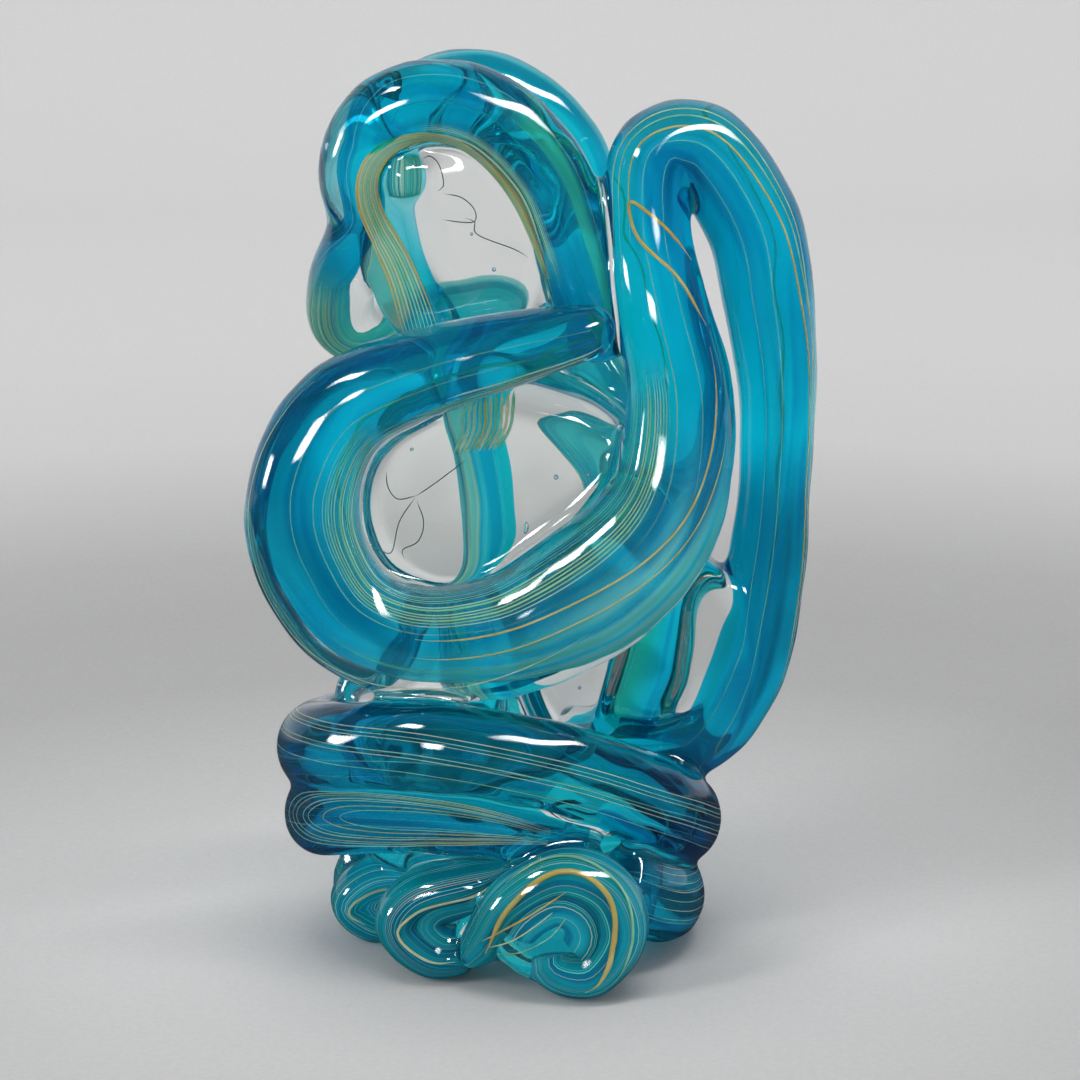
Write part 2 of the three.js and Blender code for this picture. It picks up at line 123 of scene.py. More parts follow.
def along_foot(count):
    rows = []
    for degrees in np.linspace(*FOOT_ARC, count):
        angle = math.radians(degrees)
        x = FOOT_MIDDLE[0] + FOOT_RADII[0] * math.cos(angle)
        y = FOOT_MIDDLE[1] + FOOT_RADII[1] * math.sin(angle)
        climb = max(0, degrees / FOOT_ARC[0]) ** 1.5
        rows.append([x, y, FOOT_HEIGHT + FOOT_CLIMB * climb, 1])
    return rows


def above_waist(plane, *points):
    return [[x, plane + behind, WAIST_HEIGHT + above, taper] for x, behind, above, taper in points]


def catmull_rom(points, places):
    """Points of a smooth curve through the given ones; place 1.5 is midway from the second to the third."""
    points = np.asarray(points, float)
    ends = np.vstack([2 * points[0] - points[1], points, 2 * points[-1] - points[-2]])
    first = np.clip(np.floor(places).astype(int), 0, len(points) - 2)
    t = (places - first)[:, None]
    p0, p1, p2, p3 = (ends[first + k] for k in range(4))
    return 0.5 * (
        2 * p1
        + (p2 - p0) * t
        + (2 * p0 - 5 * p1 + 4 * p2 - p3) * t**2
        + (3 * p1 - p0 - 3 * p2 + p3) * t**3
    )


def columns_at(where, places, table):
    """A table's columns, interpolated at the given places."""
    return np.column_stack([np.interp(where, places, column) for column in table.T])


def unit_rows(rows):
    return rows / np.linalg.norm(rows, axis=1)[:, None]


def section_axes(centre, thick):
    """Across and through axes along a line; the through axis lies as near to thick as it can."""
    tangent = unit_rows(np.gradient(centre, axis=0))
    through = unit_rows(thick - (tangent @ thick)[:, None] * tangent)
    return np.cross(tangent, through), through


class Rope:
    """A rope's line and section, sampled evenly along its length."""

    def __init__(self, points, half, thick, ends):
        points = np.array(points, float)
        half_width = half[0] * points[:, 3]
        half_depth = half[1] * np.sqrt(points[:, 3])
        rows = np.column_stack([points[:, :3], half_width, half_depth])
        fine = np.linspace(0, len(rows) - 1, LINE_FINENESS * len(rows))
        dense = catmull_rom(rows, fine)
        steps = np.linalg.norm(np.diff(dense[:, :3], axis=0), axis=1)
        run = np.concatenate([[0], np.cumsum(steps)])
        count = max(RING_LEAST, int(run[-1] / RING_STEP))
        self.length = run[-1]
        self.along = np.linspace(0, run[-1], count)
        self.places = np.interp(self.along, run, fine)
        sampled = catmull_rom(rows, self.places)
        self.centre = sampled[:, :3]
        self.half = sampled[:, 3:5]
        self.across, self.through = section_axes(self.centre, thick)
        self.ends = ends

    def dome(self):
        """How far each section is drawn in by a round end."""
        scale = np.ones(len(self.along))
        from_ends = (self.along / self.half[0, 0], (self.length - self.along) / self.half[-1, 0])
        for is_round, from_end in zip(self.ends, from_ends):
            if is_round:
                share = np.clip(from_end, 0, 1)
                scale *= np.sqrt(np.clip(1 - (1 - share) ** 2, DOME_LEAST, 1))
        return scale

    def at(self, where):
        """Line, axes and half sizes at places counted in the rope's own points."""
        tables = (self.centre, self.across, self.through, self.half)
        return [columns_at(where, self.places, table) for table in tables]


def ring_angles(sides):
    return 2 * math.pi * (np.arange(sides) + 0.5) / sides


def tube_mesh(name, centre, across, through, half, sides):
    """A closed mesh of ellipses along a line, with a fan at each end."""
    count = len(centre)
    angles = ring_angles(sides)
    ring = (
        centre[:, None, :]
        + half[:, 0, None, None] * np.cos(angles)[None, :, None] * across[:, None, :]
        + half[:, 1, None, None] * np.sin(angles)[None, :, None] * through[:, None, :]
    )
    verts = np.vstack([ring.reshape(-1, 3), centre[0], centre[-1]]) * MM
    faces = []
    for i in range(count - 1):
        for j in range(sides):
            k = (j + 1) % sides
            faces.append((i * sides + j, (i + 1) * sides + j, (i + 1) * sides + k, i * sides + k))
    start = count * sides
    last = (count - 1) * sides
    for j in range(sides):
        k = (j + 1) % sides
        faces.append((start, j, k))
        faces.append((start + 1, last + k, last + j))
    mesh = bpy.data.meshes.new(name)
    mesh.from_pydata([tuple(v) for v in verts], [], faces)
    mesh.update()
    return mesh


def add_piece(name, mesh, material, nodes=()):
    piece = bpy.data.objects.new(name, mesh)
    bpy.context.collection.objects.link(piece)
    piece.data.materials.clear()
    piece.data.materials.append(material)
    for polygon in piece.data.polygons:
        polygon.use_smooth = True
    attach(piece, BODY)
    if nodes:
        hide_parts(*nodes)
    return piece


# Ropes
main_points = (
    [[*on_waist(WAIST_START), 0.72], [*on_waist(WAIST_START - 0.07), 0.74]]
    + above_waist(
        RISER_DEPTH,
        [38, 7, 0.5, 0.81], [48.5, 2, 17, 0.9], [53.5, 1, 40, 0.86], [55.5, 0, 64, 0.76],
        [55.8, 0, 86, 0.83], [53.5, 0, 105, 0.96], [49.6, 1, 123, 1.0], [38.5, 2, 138.8, 0.97],
        [27.5, -1, 137.5, 0.92], [26, -7, 123, 0.87],
    )
    + above_waist(
        LOOP_DEPTH,
        [28.5, 8, 108, 0.94], [33, 5, 87, 1.1], [31.5, 3, 68, 1.2], [25.5, 1, 54.5, 1.34],
        [12.5, -1, 42.5, 1.42], [-6, -2, 32.8, 1.27], [-26, -2, 31, 1.17], [-42, -1, 38, 1.16],
        [-50.5, 0, 53.5, 1.18], [-50, 0, 69.5, 1.13], [-41.5, 1, 84, 1.03], [-23.5, 0, 92.5, 0.9],
        [-4.5, -2, 98, 0.77], [9.5, -4, 101.5, 0.6], [18.5, -5, 104, 0.52],
    )
)
arch_points = above_waist(
    ARCH_DEPTH,
    [17, 2, 92, 0.85], [13.5, -1, 106, 0.95], [9, -2, 120, 1], [3, -1, 135, 1.05], [-9, 0, 147, 1.05],
    [-22.5, 1, 150.5, 1], [-33.5, 2, 146.5, 0.95], [-39.5, 4, 136, 0.9], [-39, 8, 122, 0.76],
) + above_waist(
    SWEEP_DEPTH,
    [-43.5, -22, 108, 0.84], [-43, -12, 96, 0.84], [-31, -2, 93, 0.8], [-14.5, 2, 99.5, 0.76],
    [3, 1, 97.5, 0.76], [16, -7, 83.5, 0.76], [25.5, -12, 62, 0.8], [30, -15, 39, 0.85],
    [27.5, -20, 19, 0.85], [20.5, -26, 2, 0.8],
)
back_points = above_waist(
    BACK_DEPTH,
    [15.5, -1, 122.5, 0.85], [7, 0, 140.5, 0.97], [-9.5, 0, 151.5, 1.02], [-25.5, 0, 149, 0.97],
    [-31.5, 0, 135, 0.9], [-29, 0, 116.5, 0.9], [-21.5, 1, 95.5, 0.96], [-12.5, 1, 72, 1.04],
    [-9.5, 0, 48.5, 1.07], [-11, -5, 25.5, 1.07], [-14.5, -11, 6.5, 0.97],
)
waist_points = (
    along_waist(WAIST_START, 0, 4, 0.9, 1)
    + along_waist(0.1, 0.5, 5, 1, 1)
    + along_waist(0.6, 0.94, 4, 0.97, 0.86)
    + along_waist(1.04, WAIST_END, 4, 0.82, 0.5)
)
front_fold_points = [
    [-14.5, -32, 6, 0.42], [-10, -33.5, 11.5, 0.72], [-4, -36, 21, 0.88], [6.5, -36.5, 27, 0.97],
    [16, -37, 23.5, 1], [19, -38, 14.5, 1], [13, -39, 6, 0.9], [4.5, -39, 7.5, 0.76],
    [4, -38, 14.5, 0.58],
]
middle_fold_points = [
    [12, -24, 27, 0.45], [-0.5, -26, 24.5, 0.76], [-14, -26, 22.5, 0.96], [-26, -25, 18.5, 1],
    [-30, -25, 11.5, 1.02], [-22.5, -26, 4.8, 0.94], [-12, -27, 5.5, 0.72],
]
left_fold_points = [
    [2, -5, 21.5, 0.72], [-8, -6, 20.5, 0.92], [-23.5, -5.5, 18.5, 0.96], [-36.5, -3, 15.5, 1],
    [-42.5, -1, 9.2, 1.05], [-36, 0, 3.2, 0.96], [-21.5, 0, 3.4, 0.86],
]

ropes = {
    "main": Rope(main_points, MAIN_HALF, DEPTH_AXIS, (False, True)),
    "arch": Rope(arch_points, ARCH_HALF, DEPTH_AXIS, (True, False)),
    "back": Rope(back_points, BACK_HALF, DEPTH_AXIS, (False, False)),
    "waist": Rope(waist_points, WAIST_HALF, HEIGHT_AXIS, (False, True)),
    "foot": Rope(along_foot(9), FOOT_HALF, HEIGHT_AXIS, (False, False)),
    "front_fold": Rope(front_fold_points, FRONT_FOLD_HALF, DEPTH_AXIS, (False, True)),
    "middle_fold": Rope(middle_fold_points, MIDDLE_FOLD_HALF, DEPTH_AXIS, (False, True)),
    "left_fold": Rope(left_fold_points, LEFT_FOLD_HALF, DEPTH_AXIS, (False, True)),
}
# A short drop of striped glass that hangs in the top web
DROP_HALF = (5.4, 5.4)
drop_points = [
    [-28, -3, 173.5, 0.9], [-28.2, -3, 176.5, 1], [-28.2, -3, 181.5, 1], [-28, -3, 184.5, 0.9],
]
drop = Rope(drop_points, DROP_HALF, DEPTH_AXIS, (True, True))


def slab(x, height, *rows):
    """Sections of clear glass from front to back: depth, half width, half height."""
    return HEIGHT_AXIS, [[x, depth, height, *half] for depth, *half in rows]


# Clear glass without a core: centre, half size across, half size along the thick axis
clear_forms = {
    "web_front": slab(
        -8, WAIST_HEIGHT + 57,
        (LOOP_DEPTH + 3, 34.5, 27), (LOOP_DEPTH + 8, 37.5, 31), (BACK_DEPTH - 22, 38, 32),
        (BACK_DEPTH - 13, 38, 32), (BACK_DEPTH - 4, 37.5, 32), (BACK_DEPTH + 4, 35, 30),
        (BACK_DEPTH + 9, 29, 25),
    ),
    "web_top": (
        HEIGHT_AXIS,
        [
            [-17, ARCH_DEPTH - 4.5, WAIST_HEIGHT + 117, 17, 20],
            [-16.5, ARCH_DEPTH - 1, WAIST_HEIGHT + 117, 20.5, 24.5],
            [-16, ARCH_DEPTH + 5, WAIST_HEIGHT + 117, 21.5, 26],
            [-14.5, BACK_DEPTH - 9, WAIST_HEIGHT + 118, 21.5, 26],
            [-13, BACK_DEPTH - 2, WAIST_HEIGHT + 118, 20.5, 25],
            [-12, BACK_DEPTH + 3, WAIST_HEIGHT + 118, 16, 20],
        ],
    ),
    "web_right": slab(
        25, WAIST_HEIGHT + 22,
        (LOOP_DEPTH + 9.5, 23, 25), (LOOP_DEPTH + 12.5, 26.4, 28.4), (RISER_DEPTH - 3, 27, 29),
        (RISER_DEPTH + 3, 27, 29), (SWEEP_DEPTH - 25, 26.4, 28.4), (SWEEP_DEPTH - 22, 23, 25),
    ),
    "gather": (
        DEPTH_AXIS,
        [
            [-4, 8, 0, 31.4, 27.4], [-4, 8, 19.3, 31.4, 27.4], [-7.5, 0, WAIST_HEIGHT - 6, 35.3, 26.8],
            [-7.5, 0, WAIST_HEIGHT + 2, 33, 25],
        ],
    ),
    "saddle": slab(
        -1, WAIST_HEIGHT + 16,
        (LOOP_DEPTH + 8.5, 36, 11), (LOOP_DEPTH + 10.5, 42, 14.6), (LOOP_DEPTH + 14, 44.5, 16),
        (LOOP_DEPTH + 18, 42, 14.6), (LOOP_DEPTH + 21, 36, 11),
    ),
    "front_fold_fill": slab(4, 14.5, (-45.3, 6, 6), (-44.3, 10.5, 9.5), (-38, 13, 11.5), (-29, 10, 10)),
    "middle_fold_fill": slab(-17, 12, (-31, 5, 4), (-28, 11, 8), (-23, 12, 9), (-19, 8, 6)),
    "left_fold_fill": slab(-34, 9.5, (-7, 4, 3), (-4, 8, 6), (2, 9, 7), (6, 6, 4)),
}


def clear_form_mesh(name, thick, sections):
    rows = np.array(sections, float)
    sampled = catmull_rom(rows, np.linspace(0, len(rows) - 1, FORM_FINENESS * len(rows)))
    centre = sampled[:, :3]
    return tube_mesh(name, centre, *section_axes(centre, thick), sampled[:, 3:5], FORM_SIDES)


# Materials
def principled(name, settings):
    material = bpy.data.materials.new(name)
    material.use_nodes = True
    shader = material.node_tree.nodes["Principled BSDF"]
    for socket, value in settings.items():
        shader.inputs[socket].default_value = value
    return material, material.node_tree, shader


def feed(tree, target, value):
    """Links an input to another node's output, or sets it to a plain value."""
    if isinstance(value, bpy.types.NodeSocket):
        tree.links.new(value, target)
    else:
        target.default_value = value


def add_node(tree, kind, *values, **settings):
    """A new shader node. The values go to its inputs in their order."""
    node = tree.nodes.new("ShaderNode" + kind)
    for name, setting in settings.items():
        setattr(node, name, setting)
    for target, value in zip(node.inputs, values):
        feed(tree, target, value)
    return node


def glass_shader(name, ior, passed, density):
    """Glass that takes up colour over its thickness: passed is what a deep layer lets through."""
    settings = {"Roughness": 0, "IOR": ior, "Transmission Weight": 1, "Base Color": (1, 1, 1, 1)}
    material, tree, shader = principled(name, settings)
    volume = add_node(tree, "VolumeAbsorption", (*passed, 1), density)
    tree.links.new(volume.outputs["Volume"], tree.nodes["Material Output"].inputs["Volume"])
    return material, tree, shader


def attribute(tree, name, output):
    return add_node(tree, "Attribute", attribute_name=name).outputs[output]


def noise(tree, vector, stretch, seed, scale, detail=0.0, distortion=0.0):
    """Noise drawn out along the rope: stretch is the rope's length scale, seed shifts it elsewhere."""
    shift = (seed * 3.7, seed * 1.3, seed * 5.1)
    scaled = add_node(tree, "VectorMath", vector, (1, 1, stretch), shift, operation="MULTIPLY_ADD")
    node = add_node(tree, "TexNoise", scaled.outputs[0])
    for socket, value in (("Scale", scale), ("Detail", detail), ("Distortion", distortion)):
        node.inputs[socket].default_value = value
    return node.outputs["Fac"]


def ramp(tree, value, stops):
    node = add_node(tree, "ValToRGB", value)
    elements = node.color_ramp.elements
    while len(elements) < len(stops):
        elements.new(0.5)
    for element, (position, colour) in zip(elements, stops):
        element.position = position
        element.color = (*colour, 1) if isinstance(colour, tuple) else (colour, colour, colour, 1)
    return node.outputs["Color"]


def mix_colours(tree, factor, first, second, blend="MIX"):
    node = add_node(tree, "Mix", data_type="RGBA", blend_type=blend)
    for socket, value in (("Factor_Float", factor), ("A_Color", first), ("B_Color", second)):
        feed(tree, next(i for i in node.inputs if i.identifier == socket), value)
    return next(o for o in node.outputs if o.identifier == "Result_Color")


AMBER = (0.70, 0.47, 0.10)
CREAM = (0.86, 0.80, 0.42)
LEAF_GREEN = (0.24, 0.56, 0.26)
PALE_TEAL = (0.42, 0.80, 0.72)
PALER_TEAL = (0.5, 0.86, 0.78)
AZURE = (0.03, 0.86, 1.0)
DEEP_BLUE = (0.015, 0.52, 0.72)
PALE_BLUE = (0.60, 0.94, 1.0)
NAVY = (0.008, 0.25, 0.38)
MID_BLUE = (0.02, 0.64, 0.82)
TURQUOISE = (0.20, 0.90, 0.86)
PALE_TURQUOISE = (0.32, 0.92, 0.88)
SEA_GREEN = (0.16, 0.84, 0.60)
PALE_GOLD = (0.92, 0.82, 0.38)
SHADE_TEAL = (0.02, 0.58, 0.78)
LIGHT_TEAL = (0.12, 0.90, 0.90)
FOLD_TEAL = (0.01, 0.50, 0.60)
MILK = (0.86, 0.94, 0.84)

# Lines along a rope: how many fit round it, how milky they are, their width as a share of the room for one,
# the share that is shown, how far and how often they wander, and their colours
FEW_THREADS = dict(count=62, cover=0.4, width=0.13, shown=0.12, wander=3.0, bends=0.05)
FEW_THREADS["hues"] = [(0.2, PALE_TEAL), (0.4, PALER_TEAL), (0.6, LEAF_GREEN), (0.8, PALE_TEAL)]
PALE_THREADS = dict(count=44, cover=0.4, width=0.13, shown=0.24, wander=2.0, bends=0.03)
PALE_THREADS["hues"] = [
    (0.2, PALE_TEAL), (0.45, PALER_TEAL), (0.62, (0.25, 0.8, 0.78)), (0.8, SEA_GREEN), (0.95, PALE_TEAL),
]
FOLD_THREADS = dict(count=64, cover=0.85, width=0.2, shown=0.5, wander=2.0, bends=0.05)
FOLD_THREADS["hues"] = [
    (0.2, PALE_TEAL), (0.45, SEA_GREEN), (0.6, (0.2, 0.75, 0.75)), (0.75, PALER_TEAL), (0.92, PALE_GOLD),
]
STREAK_THREADS = dict(count=92, cover=0.85, width=0.3, shown=0.8, wander=2.5, bends=0.05)
STREAK_THREADS["hues"] = [
    (0.1, MILK), (0.3, PALE_GOLD), (0.5, LEAF_GREEN), (0.65, PALE_TEAL), (0.8, AMBER), (0.95, PALE_GOLD),
]
STREAK_GROUND = [(0.38, (0.04, 0.5, 0.55)), (0.5, (0.12, 0.72, 0.6)), (0.62, (0.03, 0.45, 0.58))]
GROUND_COVER = 0.28
SHEET_SHADES = [(0.36, (0.36, 0.56, 0.76)), (0.46, 1), (0.57, 1), (0.68, (0.66, 0.96, 0.82))]
LINE_BREAKS = [(0.36, 0.25), (0.5, 1)]
LINE_SHARPNESS = 12.0


def number(tree, operation, *values):
    return add_node(tree, "Math", *values, operation=operation).outputs[0]


def clamp(tree, value):
    return add_node(tree, "Clamp", value).outputs[0]


def thread_lines(tree, lay, seed, style):
    """Fine lines along a rope: how much of a point a line covers, and the line's own colour."""
    axes = add_node(tree, "SeparateXYZ", lay).outputs
    angle = number(tree, "ARCTAN2", axes["Y"], axes["X"])
    wander = noise(tree, lay, style["bends"], seed + 5, 1.3, 1)
    place = number(tree, "MULTIPLY_ADD", angle, style["count"] / (2 * math.pi), style["count"])
    place = number(tree, "MULTIPLY_ADD", wander, style["wander"], place)
    line = number(tree, "FLOORED_MODULO", number(tree, "FLOOR", place), style["count"])
    chance = add_node(tree, "TexWhiteNoise", noise_dimensions="1D")
    tree.links.new(number(tree, "ADD", line, seed * 17.3), chance.inputs["W"])
    parts = add_node(tree, "SeparateColor", chance.outputs["Color"]).outputs
    in_line = number(tree, "SUBTRACT", number(tree, "FRACT", place), 0.5)
    from_middle = number(tree, "ABSOLUTE", in_line)
    half = number(tree, "MULTIPLY_ADD", parts["Blue"], style["width"], style["width"] * 0.4)
    edge = number(tree, "MULTIPLY", number(tree, "SUBTRACT", half, from_middle), LINE_SHARPNESS)
    shown = number(tree, "LESS_THAN", parts["Red"], style["shown"])
    breaks = ramp(tree, noise(tree, lay, 0.06, seed + 41, 1.1, 1), LINE_BREAKS)
    cover = number(tree, "MULTIPLY", number(tree, "MULTIPLY", clamp(tree, edge), shown), breaks)
    return cover, ramp(tree, parts["Green"], style["hues"])


def streaked_glass(name, passed, density, seed, threads):
    """A core's glass: tinted sheets drawn out along the rope, fine threads, and a band of streaks."""
    material, tree, shader = glass_shader(name, 1.0, passed, density)
    lay = attribute(tree, "lay", "Vector")
    tint = attribute(tree, "tint", "Color")
    band = attribute(tree, "band", "Fac")
    cloud = attribute(tree, "cloud", "Fac")
    sheets = noise(tree, lay, 0.10, seed, 1.3, 2, 0.3)
    shade = ramp(tree, sheets, SHEET_SHADES)
    body = mix_colours(tree, 1.0, tint, shade, "MULTIPLY")
    lines, line_colour = thread_lines(tree, lay, seed + 11, threads)
    with_lines = mix_colours(tree, lines, body, line_colour)
    ground = ramp(tree, noise(tree, lay, 0.05, seed + 53, 2.4, 1), STREAK_GROUND)
    streaks, streak_colour = thread_lines(tree, lay, seed + 31, STREAK_THREADS)
    streaked = mix_colours(tree, streaks, ground, streak_colour)
    tree.links.new(mix_colours(tree, band, with_lines, streaked), shader.inputs["Base Color"])
    line_cloud = number(tree, "MULTIPLY", lines, threads["cover"])
    streak_cover = STREAK_THREADS["cover"] - GROUND_COVER
    streak_cloud = number(tree, "MULTIPLY_ADD", streaks, streak_cover, GROUND_COVER)
    band_cloud = number(tree, "MULTIPLY", streak_cloud, band)
    covered = number(tree, "MAXIMUM", number(tree, "MAXIMUM", line_cloud, band_cloud), cloud)
    tree.links.new(number(tree, "SUBTRACT", 1.0, covered), shader.inputs["Transmission Weight"])
    return material


def trail_glass(name, colour, other):
    """An opal thread: two close colours that change along its length."""
    settings = {"Roughness": 0.35, "IOR": 1, "Transmission Weight": 0.3}
    material, tree, shader = principled(name, settings)
    drift = noise(tree, add_node(tree, "TexCoord").outputs["Object"], 1.0, 3, 120.0, 2)
    tree.links.new(ramp(tree, drift, [(0.38, colour), (0.62, other)]), shader.inputs["Base Color"])
    return material


def read_rows(items, field, width, kind=float):
    """One field of all of a mesh's vertices, edges or normals."""
    values = np.empty(len(items) * width, kind)
    items.foreach_get(field, values)
    return values.reshape(-1, width)


# The fused clear skin
clear_glass = glass_shader("clear_glass", 1.5, (0.62, 0.86, 0.76), 4.0)[0]
form_meshes = []
for name, rope in [*ropes.items(), ("drop", drop)]:
    half = rope.half * rope.dome()[:, None]
    form_meshes.append(tube_mesh(name, rope.centre, rope.across, rope.through, half, CASING_SIDES))
for name, (thick, sections) in clear_forms.items():
    form_meshes.append(clear_form_mesh(name, thick, sections))
heap = bmesh.new()
for mesh in form_meshes:
    heap.from_mesh(mesh)
heap_mesh = bpy.data.meshes.new("heap")
heap.to_mesh(heap_mesh)
heap.free()
skin = bpy.data.objects.new("heap", heap_mesh)
bpy.context.collection.objects.link(skin)
remesh = skin.modifiers.new("fuse", "REMESH")
remesh.mode = "VOXEL"
remesh.voxel_size = FUSE_VOXEL * MM
smooth = skin.modifiers.new("melt", "SMOOTH")
smooth.factor = 0.5
smooth.iterations = FUSE_SMOOTHING
fused = bpy.data.meshes.new_from_object(skin.evaluated_get(bpy.context.evaluated_depsgraph_get()))
bpy.data.objects.remove(skin, do_unlink=True)
skin_points = read_rows(fused.vertices, "co", 3)
skin_normals = read_rows(fused.vertex_normals, "vector", 3)
waves = np.ones(len(skin_points))
for column, length in enumerate(WAVE_LENGTHS):
    leaning = skin_points[:, column] + WAVE_LEAN * skin_points[:, (column + 1) % 3]
    waves *= np.sin(2 * math.pi * leaning / (length * MM) + column)
skin_points += skin_normals * (waves * WAVE_HEIGHT * MM)[:, None]
skin_points[:, 2] = np.maximum(skin_points[:, 2], 0)
fused.vertices.foreach_set("co", skin_points.ravel())
fused.update()
# Air bubbles: hollows in the clear glass, so their faces look inwards
BUBBLES = [
    (-0.9, -2, 99.2, 0.7, 1.7), (5.5, -2, 111.3, 0.6, 0.6), (13.2, -2, 111.6, 0.5, 0.5),
    (12.1, -2, 109.7, 0.4, 0.4), (8, -1, 66.5, 0.5, 0.8), (18.4, -1, 72.2, 0.45, 0.6),
    (11, 1, 61, 0.4, 0.4), (-8, 0, 158, 0.5, 0.5), (-13, 0, 166, 0.4, 0.4), (-27, -3, 118, 0.45, 0.45),
]
with_bubbles = bmesh.new()
with_bubbles.from_mesh(fused)
for x, y, z, radius, half_height in BUBBLES:
    stretch = Matrix.Diagonal((radius * MM, radius * MM, half_height * MM, 1))
    around = Matrix.Translation(Vector((x, y, z)) * MM) @ stretch
    made = bmesh.ops.create_icosphere(with_bubbles, subdivisions=3, radius=1, matrix=around)
    bubble_faces = {face for vertex in made["verts"] for face in vertex.link_faces}
    bmesh.ops.reverse_faces(with_bubbles, faces=list(bubble_faces))
with_bubbles.to_mesh(fused)
with_bubbles.free()
clear_nodes = [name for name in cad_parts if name.endswith("_casing") or name.startswith("clear_")]
add_piece("clear_skin", fused, clear_glass, clear_nodes)
# Polished glass: the shading normals are evened out over a few faces
edge_ends = read_rows(fused.edges, "vertices", 2, int)
polished = read_rows(fused.vertex_normals, "vector", 3)
for _ in range(POLISH_ROUNDS):
    blend = polished.copy()
    for axis in range(3):
        for here, there in (edge_ends.T, edge_ends.T[::-1]):
            blend[:, axis] += np.bincount(here, polished[there, axis], len(polished))
    polished = unit_rows(blend)
fused.normals_split_custom_set_from_vertices(polished)

# Coloured cores. A place on a rope counts its points; angles round it are in degrees, 270 at the front.
# share: place, half size as a share of the rope's. shift: place, shift across as a share of the half width.
# tints: place, colour of the outer side, of the inner side. level: place, where the two sides meet.
# clouds: place, how milky the outer side is, and the inner side. One colour or cloud stands for both sides.
# bands of streaks: first place, last place, middle angle, half angle. stripes: the same, colour, cloud.
cores = {}
cores["main"] = dict(
    slot="blue_glass", seed=1, threads=FEW_THREADS,
    level=[(0, 0), (13, 0.05), (16, 0.05), (17.5, 0.5), (19.5, 0.4), (22, 0.2)],
    bands=[(12.5, 22.6, 208, 42), (21.8, 25.5, 196, 26)],
    nodes=[
        "riser", "crown", "inner_fall", "front_loop_lower", "front_loop_left", "front_loop_upper",
    ],
    share=[
        (0, 0.25), (1.2, 0.6), (2, 0.77), (16, 0.77), (17.4, 0.66), (19.6, 0.66), (20.8, 0.77),
    ],
    shift=[
        (0, 0), (3, 0.08), (7, 0.08), (10, 0), (12, 0.06), (14, 0.06), (16, -0.06), (17.4, -0.2),
        (19.6, -0.2), (20.8, -0.1),
    ],
    tints=[
        (0, AZURE), (2, AZURE, MID_BLUE), (3.6, MID_BLUE, DEEP_BLUE), (4.7, DEEP_BLUE), (5.5, AZURE),
        (6.8, MID_BLUE), (8, DEEP_BLUE, AZURE), (9.5, DEEP_BLUE, LIGHT_TEAL), (11, AZURE), (13, AZURE),
        (15, PALE_TURQUOISE, AZURE), (17.5, PALE_TURQUOISE, AZURE), (19, DEEP_BLUE, MID_BLUE),
        (20.2, DEEP_BLUE, MID_BLUE), (21.4, MID_BLUE, AZURE), (23, AZURE), (24.5, MID_BLUE, AZURE),
        (26, DEEP_BLUE, LIGHT_TEAL),
    ],
    clouds=[
        (0, 0.15), (2.5, 0.12), (4, 0), (7, 0), (8.5, 0, 0.1), (11, 0, 0.1), (13, 0), (15, 0.75, 0),
        (16.8, 0.7, 0), (18.2, 0.2, 0), (19.5, 0), (21.4, 0), (22.4, 0.1), (24.6, 0.1), (26, 0.06),
    ],
    stripes=[
        (7.4, 12, 248, 7, DEEP_BLUE, 0.2), (8, 11.5, 300, 8, NAVY, 0.2),
        (2.5, 7, 262, 10, DEEP_BLUE, 0.15), (2.4, 5.4, 234, 8, NAVY, 0.15),
        (13, 17.5, 248, 12, DEEP_BLUE, 0.2), (16.5, 19, 236, 12, NAVY, 0.2),
        (19.5, 22.5, 345, 14, DEEP_BLUE, 0.1), (20.9, 22.7, 322, 12, NAVY, 0.12),
        (19.3, 20.5, 306, 34, (0.02, 0.42, 0.42), 0.12), (13.6, 18.4, 303, 5, AZURE, 0.15),
        (14.2, 19.2, 318, 3, SEA_GREEN, 0.6), (13.8, 18.0, 331, 4, AZURE, 0.4),
        (14.6, 18.8, 343, 3, PALE_TEAL, 0.8), (14.0, 17.6, 354, 4, TURQUOISE, 0.6),
    ],
)
cores["arch"] = dict(
    nodes=["top_arch", "left_lobe", "back_sweep_upper", "back_sweep_lower"], slot="blue_glass", seed=2,
    threads=FEW_THREADS,
    share=[(0, 0.76), (5.6, 0.76), (6.6, 0.6), (8.2, 0.6), (9, 0.5), (10.4, 0.5), (11.5, 0.72)],
    shift=[(5.6, 0), (6.6, 0.34), (7.8, 0.34), (8.8, -0.36), (10.4, -0.4), (11.5, 0)],
    bands=[(1.4, 5.4, -26, 30), (8.6, 11.4, 265, 75)],
    tints=[
        (0, DEEP_BLUE, NAVY), (1, NAVY, DEEP_BLUE), (1.8, DEEP_BLUE), (2.4, AZURE), (3.4, AZURE),
        (5, AZURE, LIGHT_TEAL), (6.5, AZURE), (7.6, MID_BLUE), (8.6, DEEP_BLUE), (10, SEA_GREEN, AZURE),
        (12, TURQUOISE), (14.5, TURQUOISE), (16, AZURE, SEA_GREEN), (18, DEEP_BLUE, SEA_GREEN),
    ],
    clouds=[
        (0, 0), (2, 0.05, 0), (4, 0), (8.2, 0), (9, 0.4, 0.3), (11, 0.4, 0.3), (12.5, 0.3),
        (15, 0.3, 0.2), (16, 0),
    ],
    stripes=[
        (0.2, 4.4, 236, 15, (0.06, 0.66, 0.46), 0.45), (0.6, 6.4, 300, 8, DEEP_BLUE, 0.15),
        (1.2, 5.6, 262, 6, DEEP_BLUE, 0.2),
    ],
)
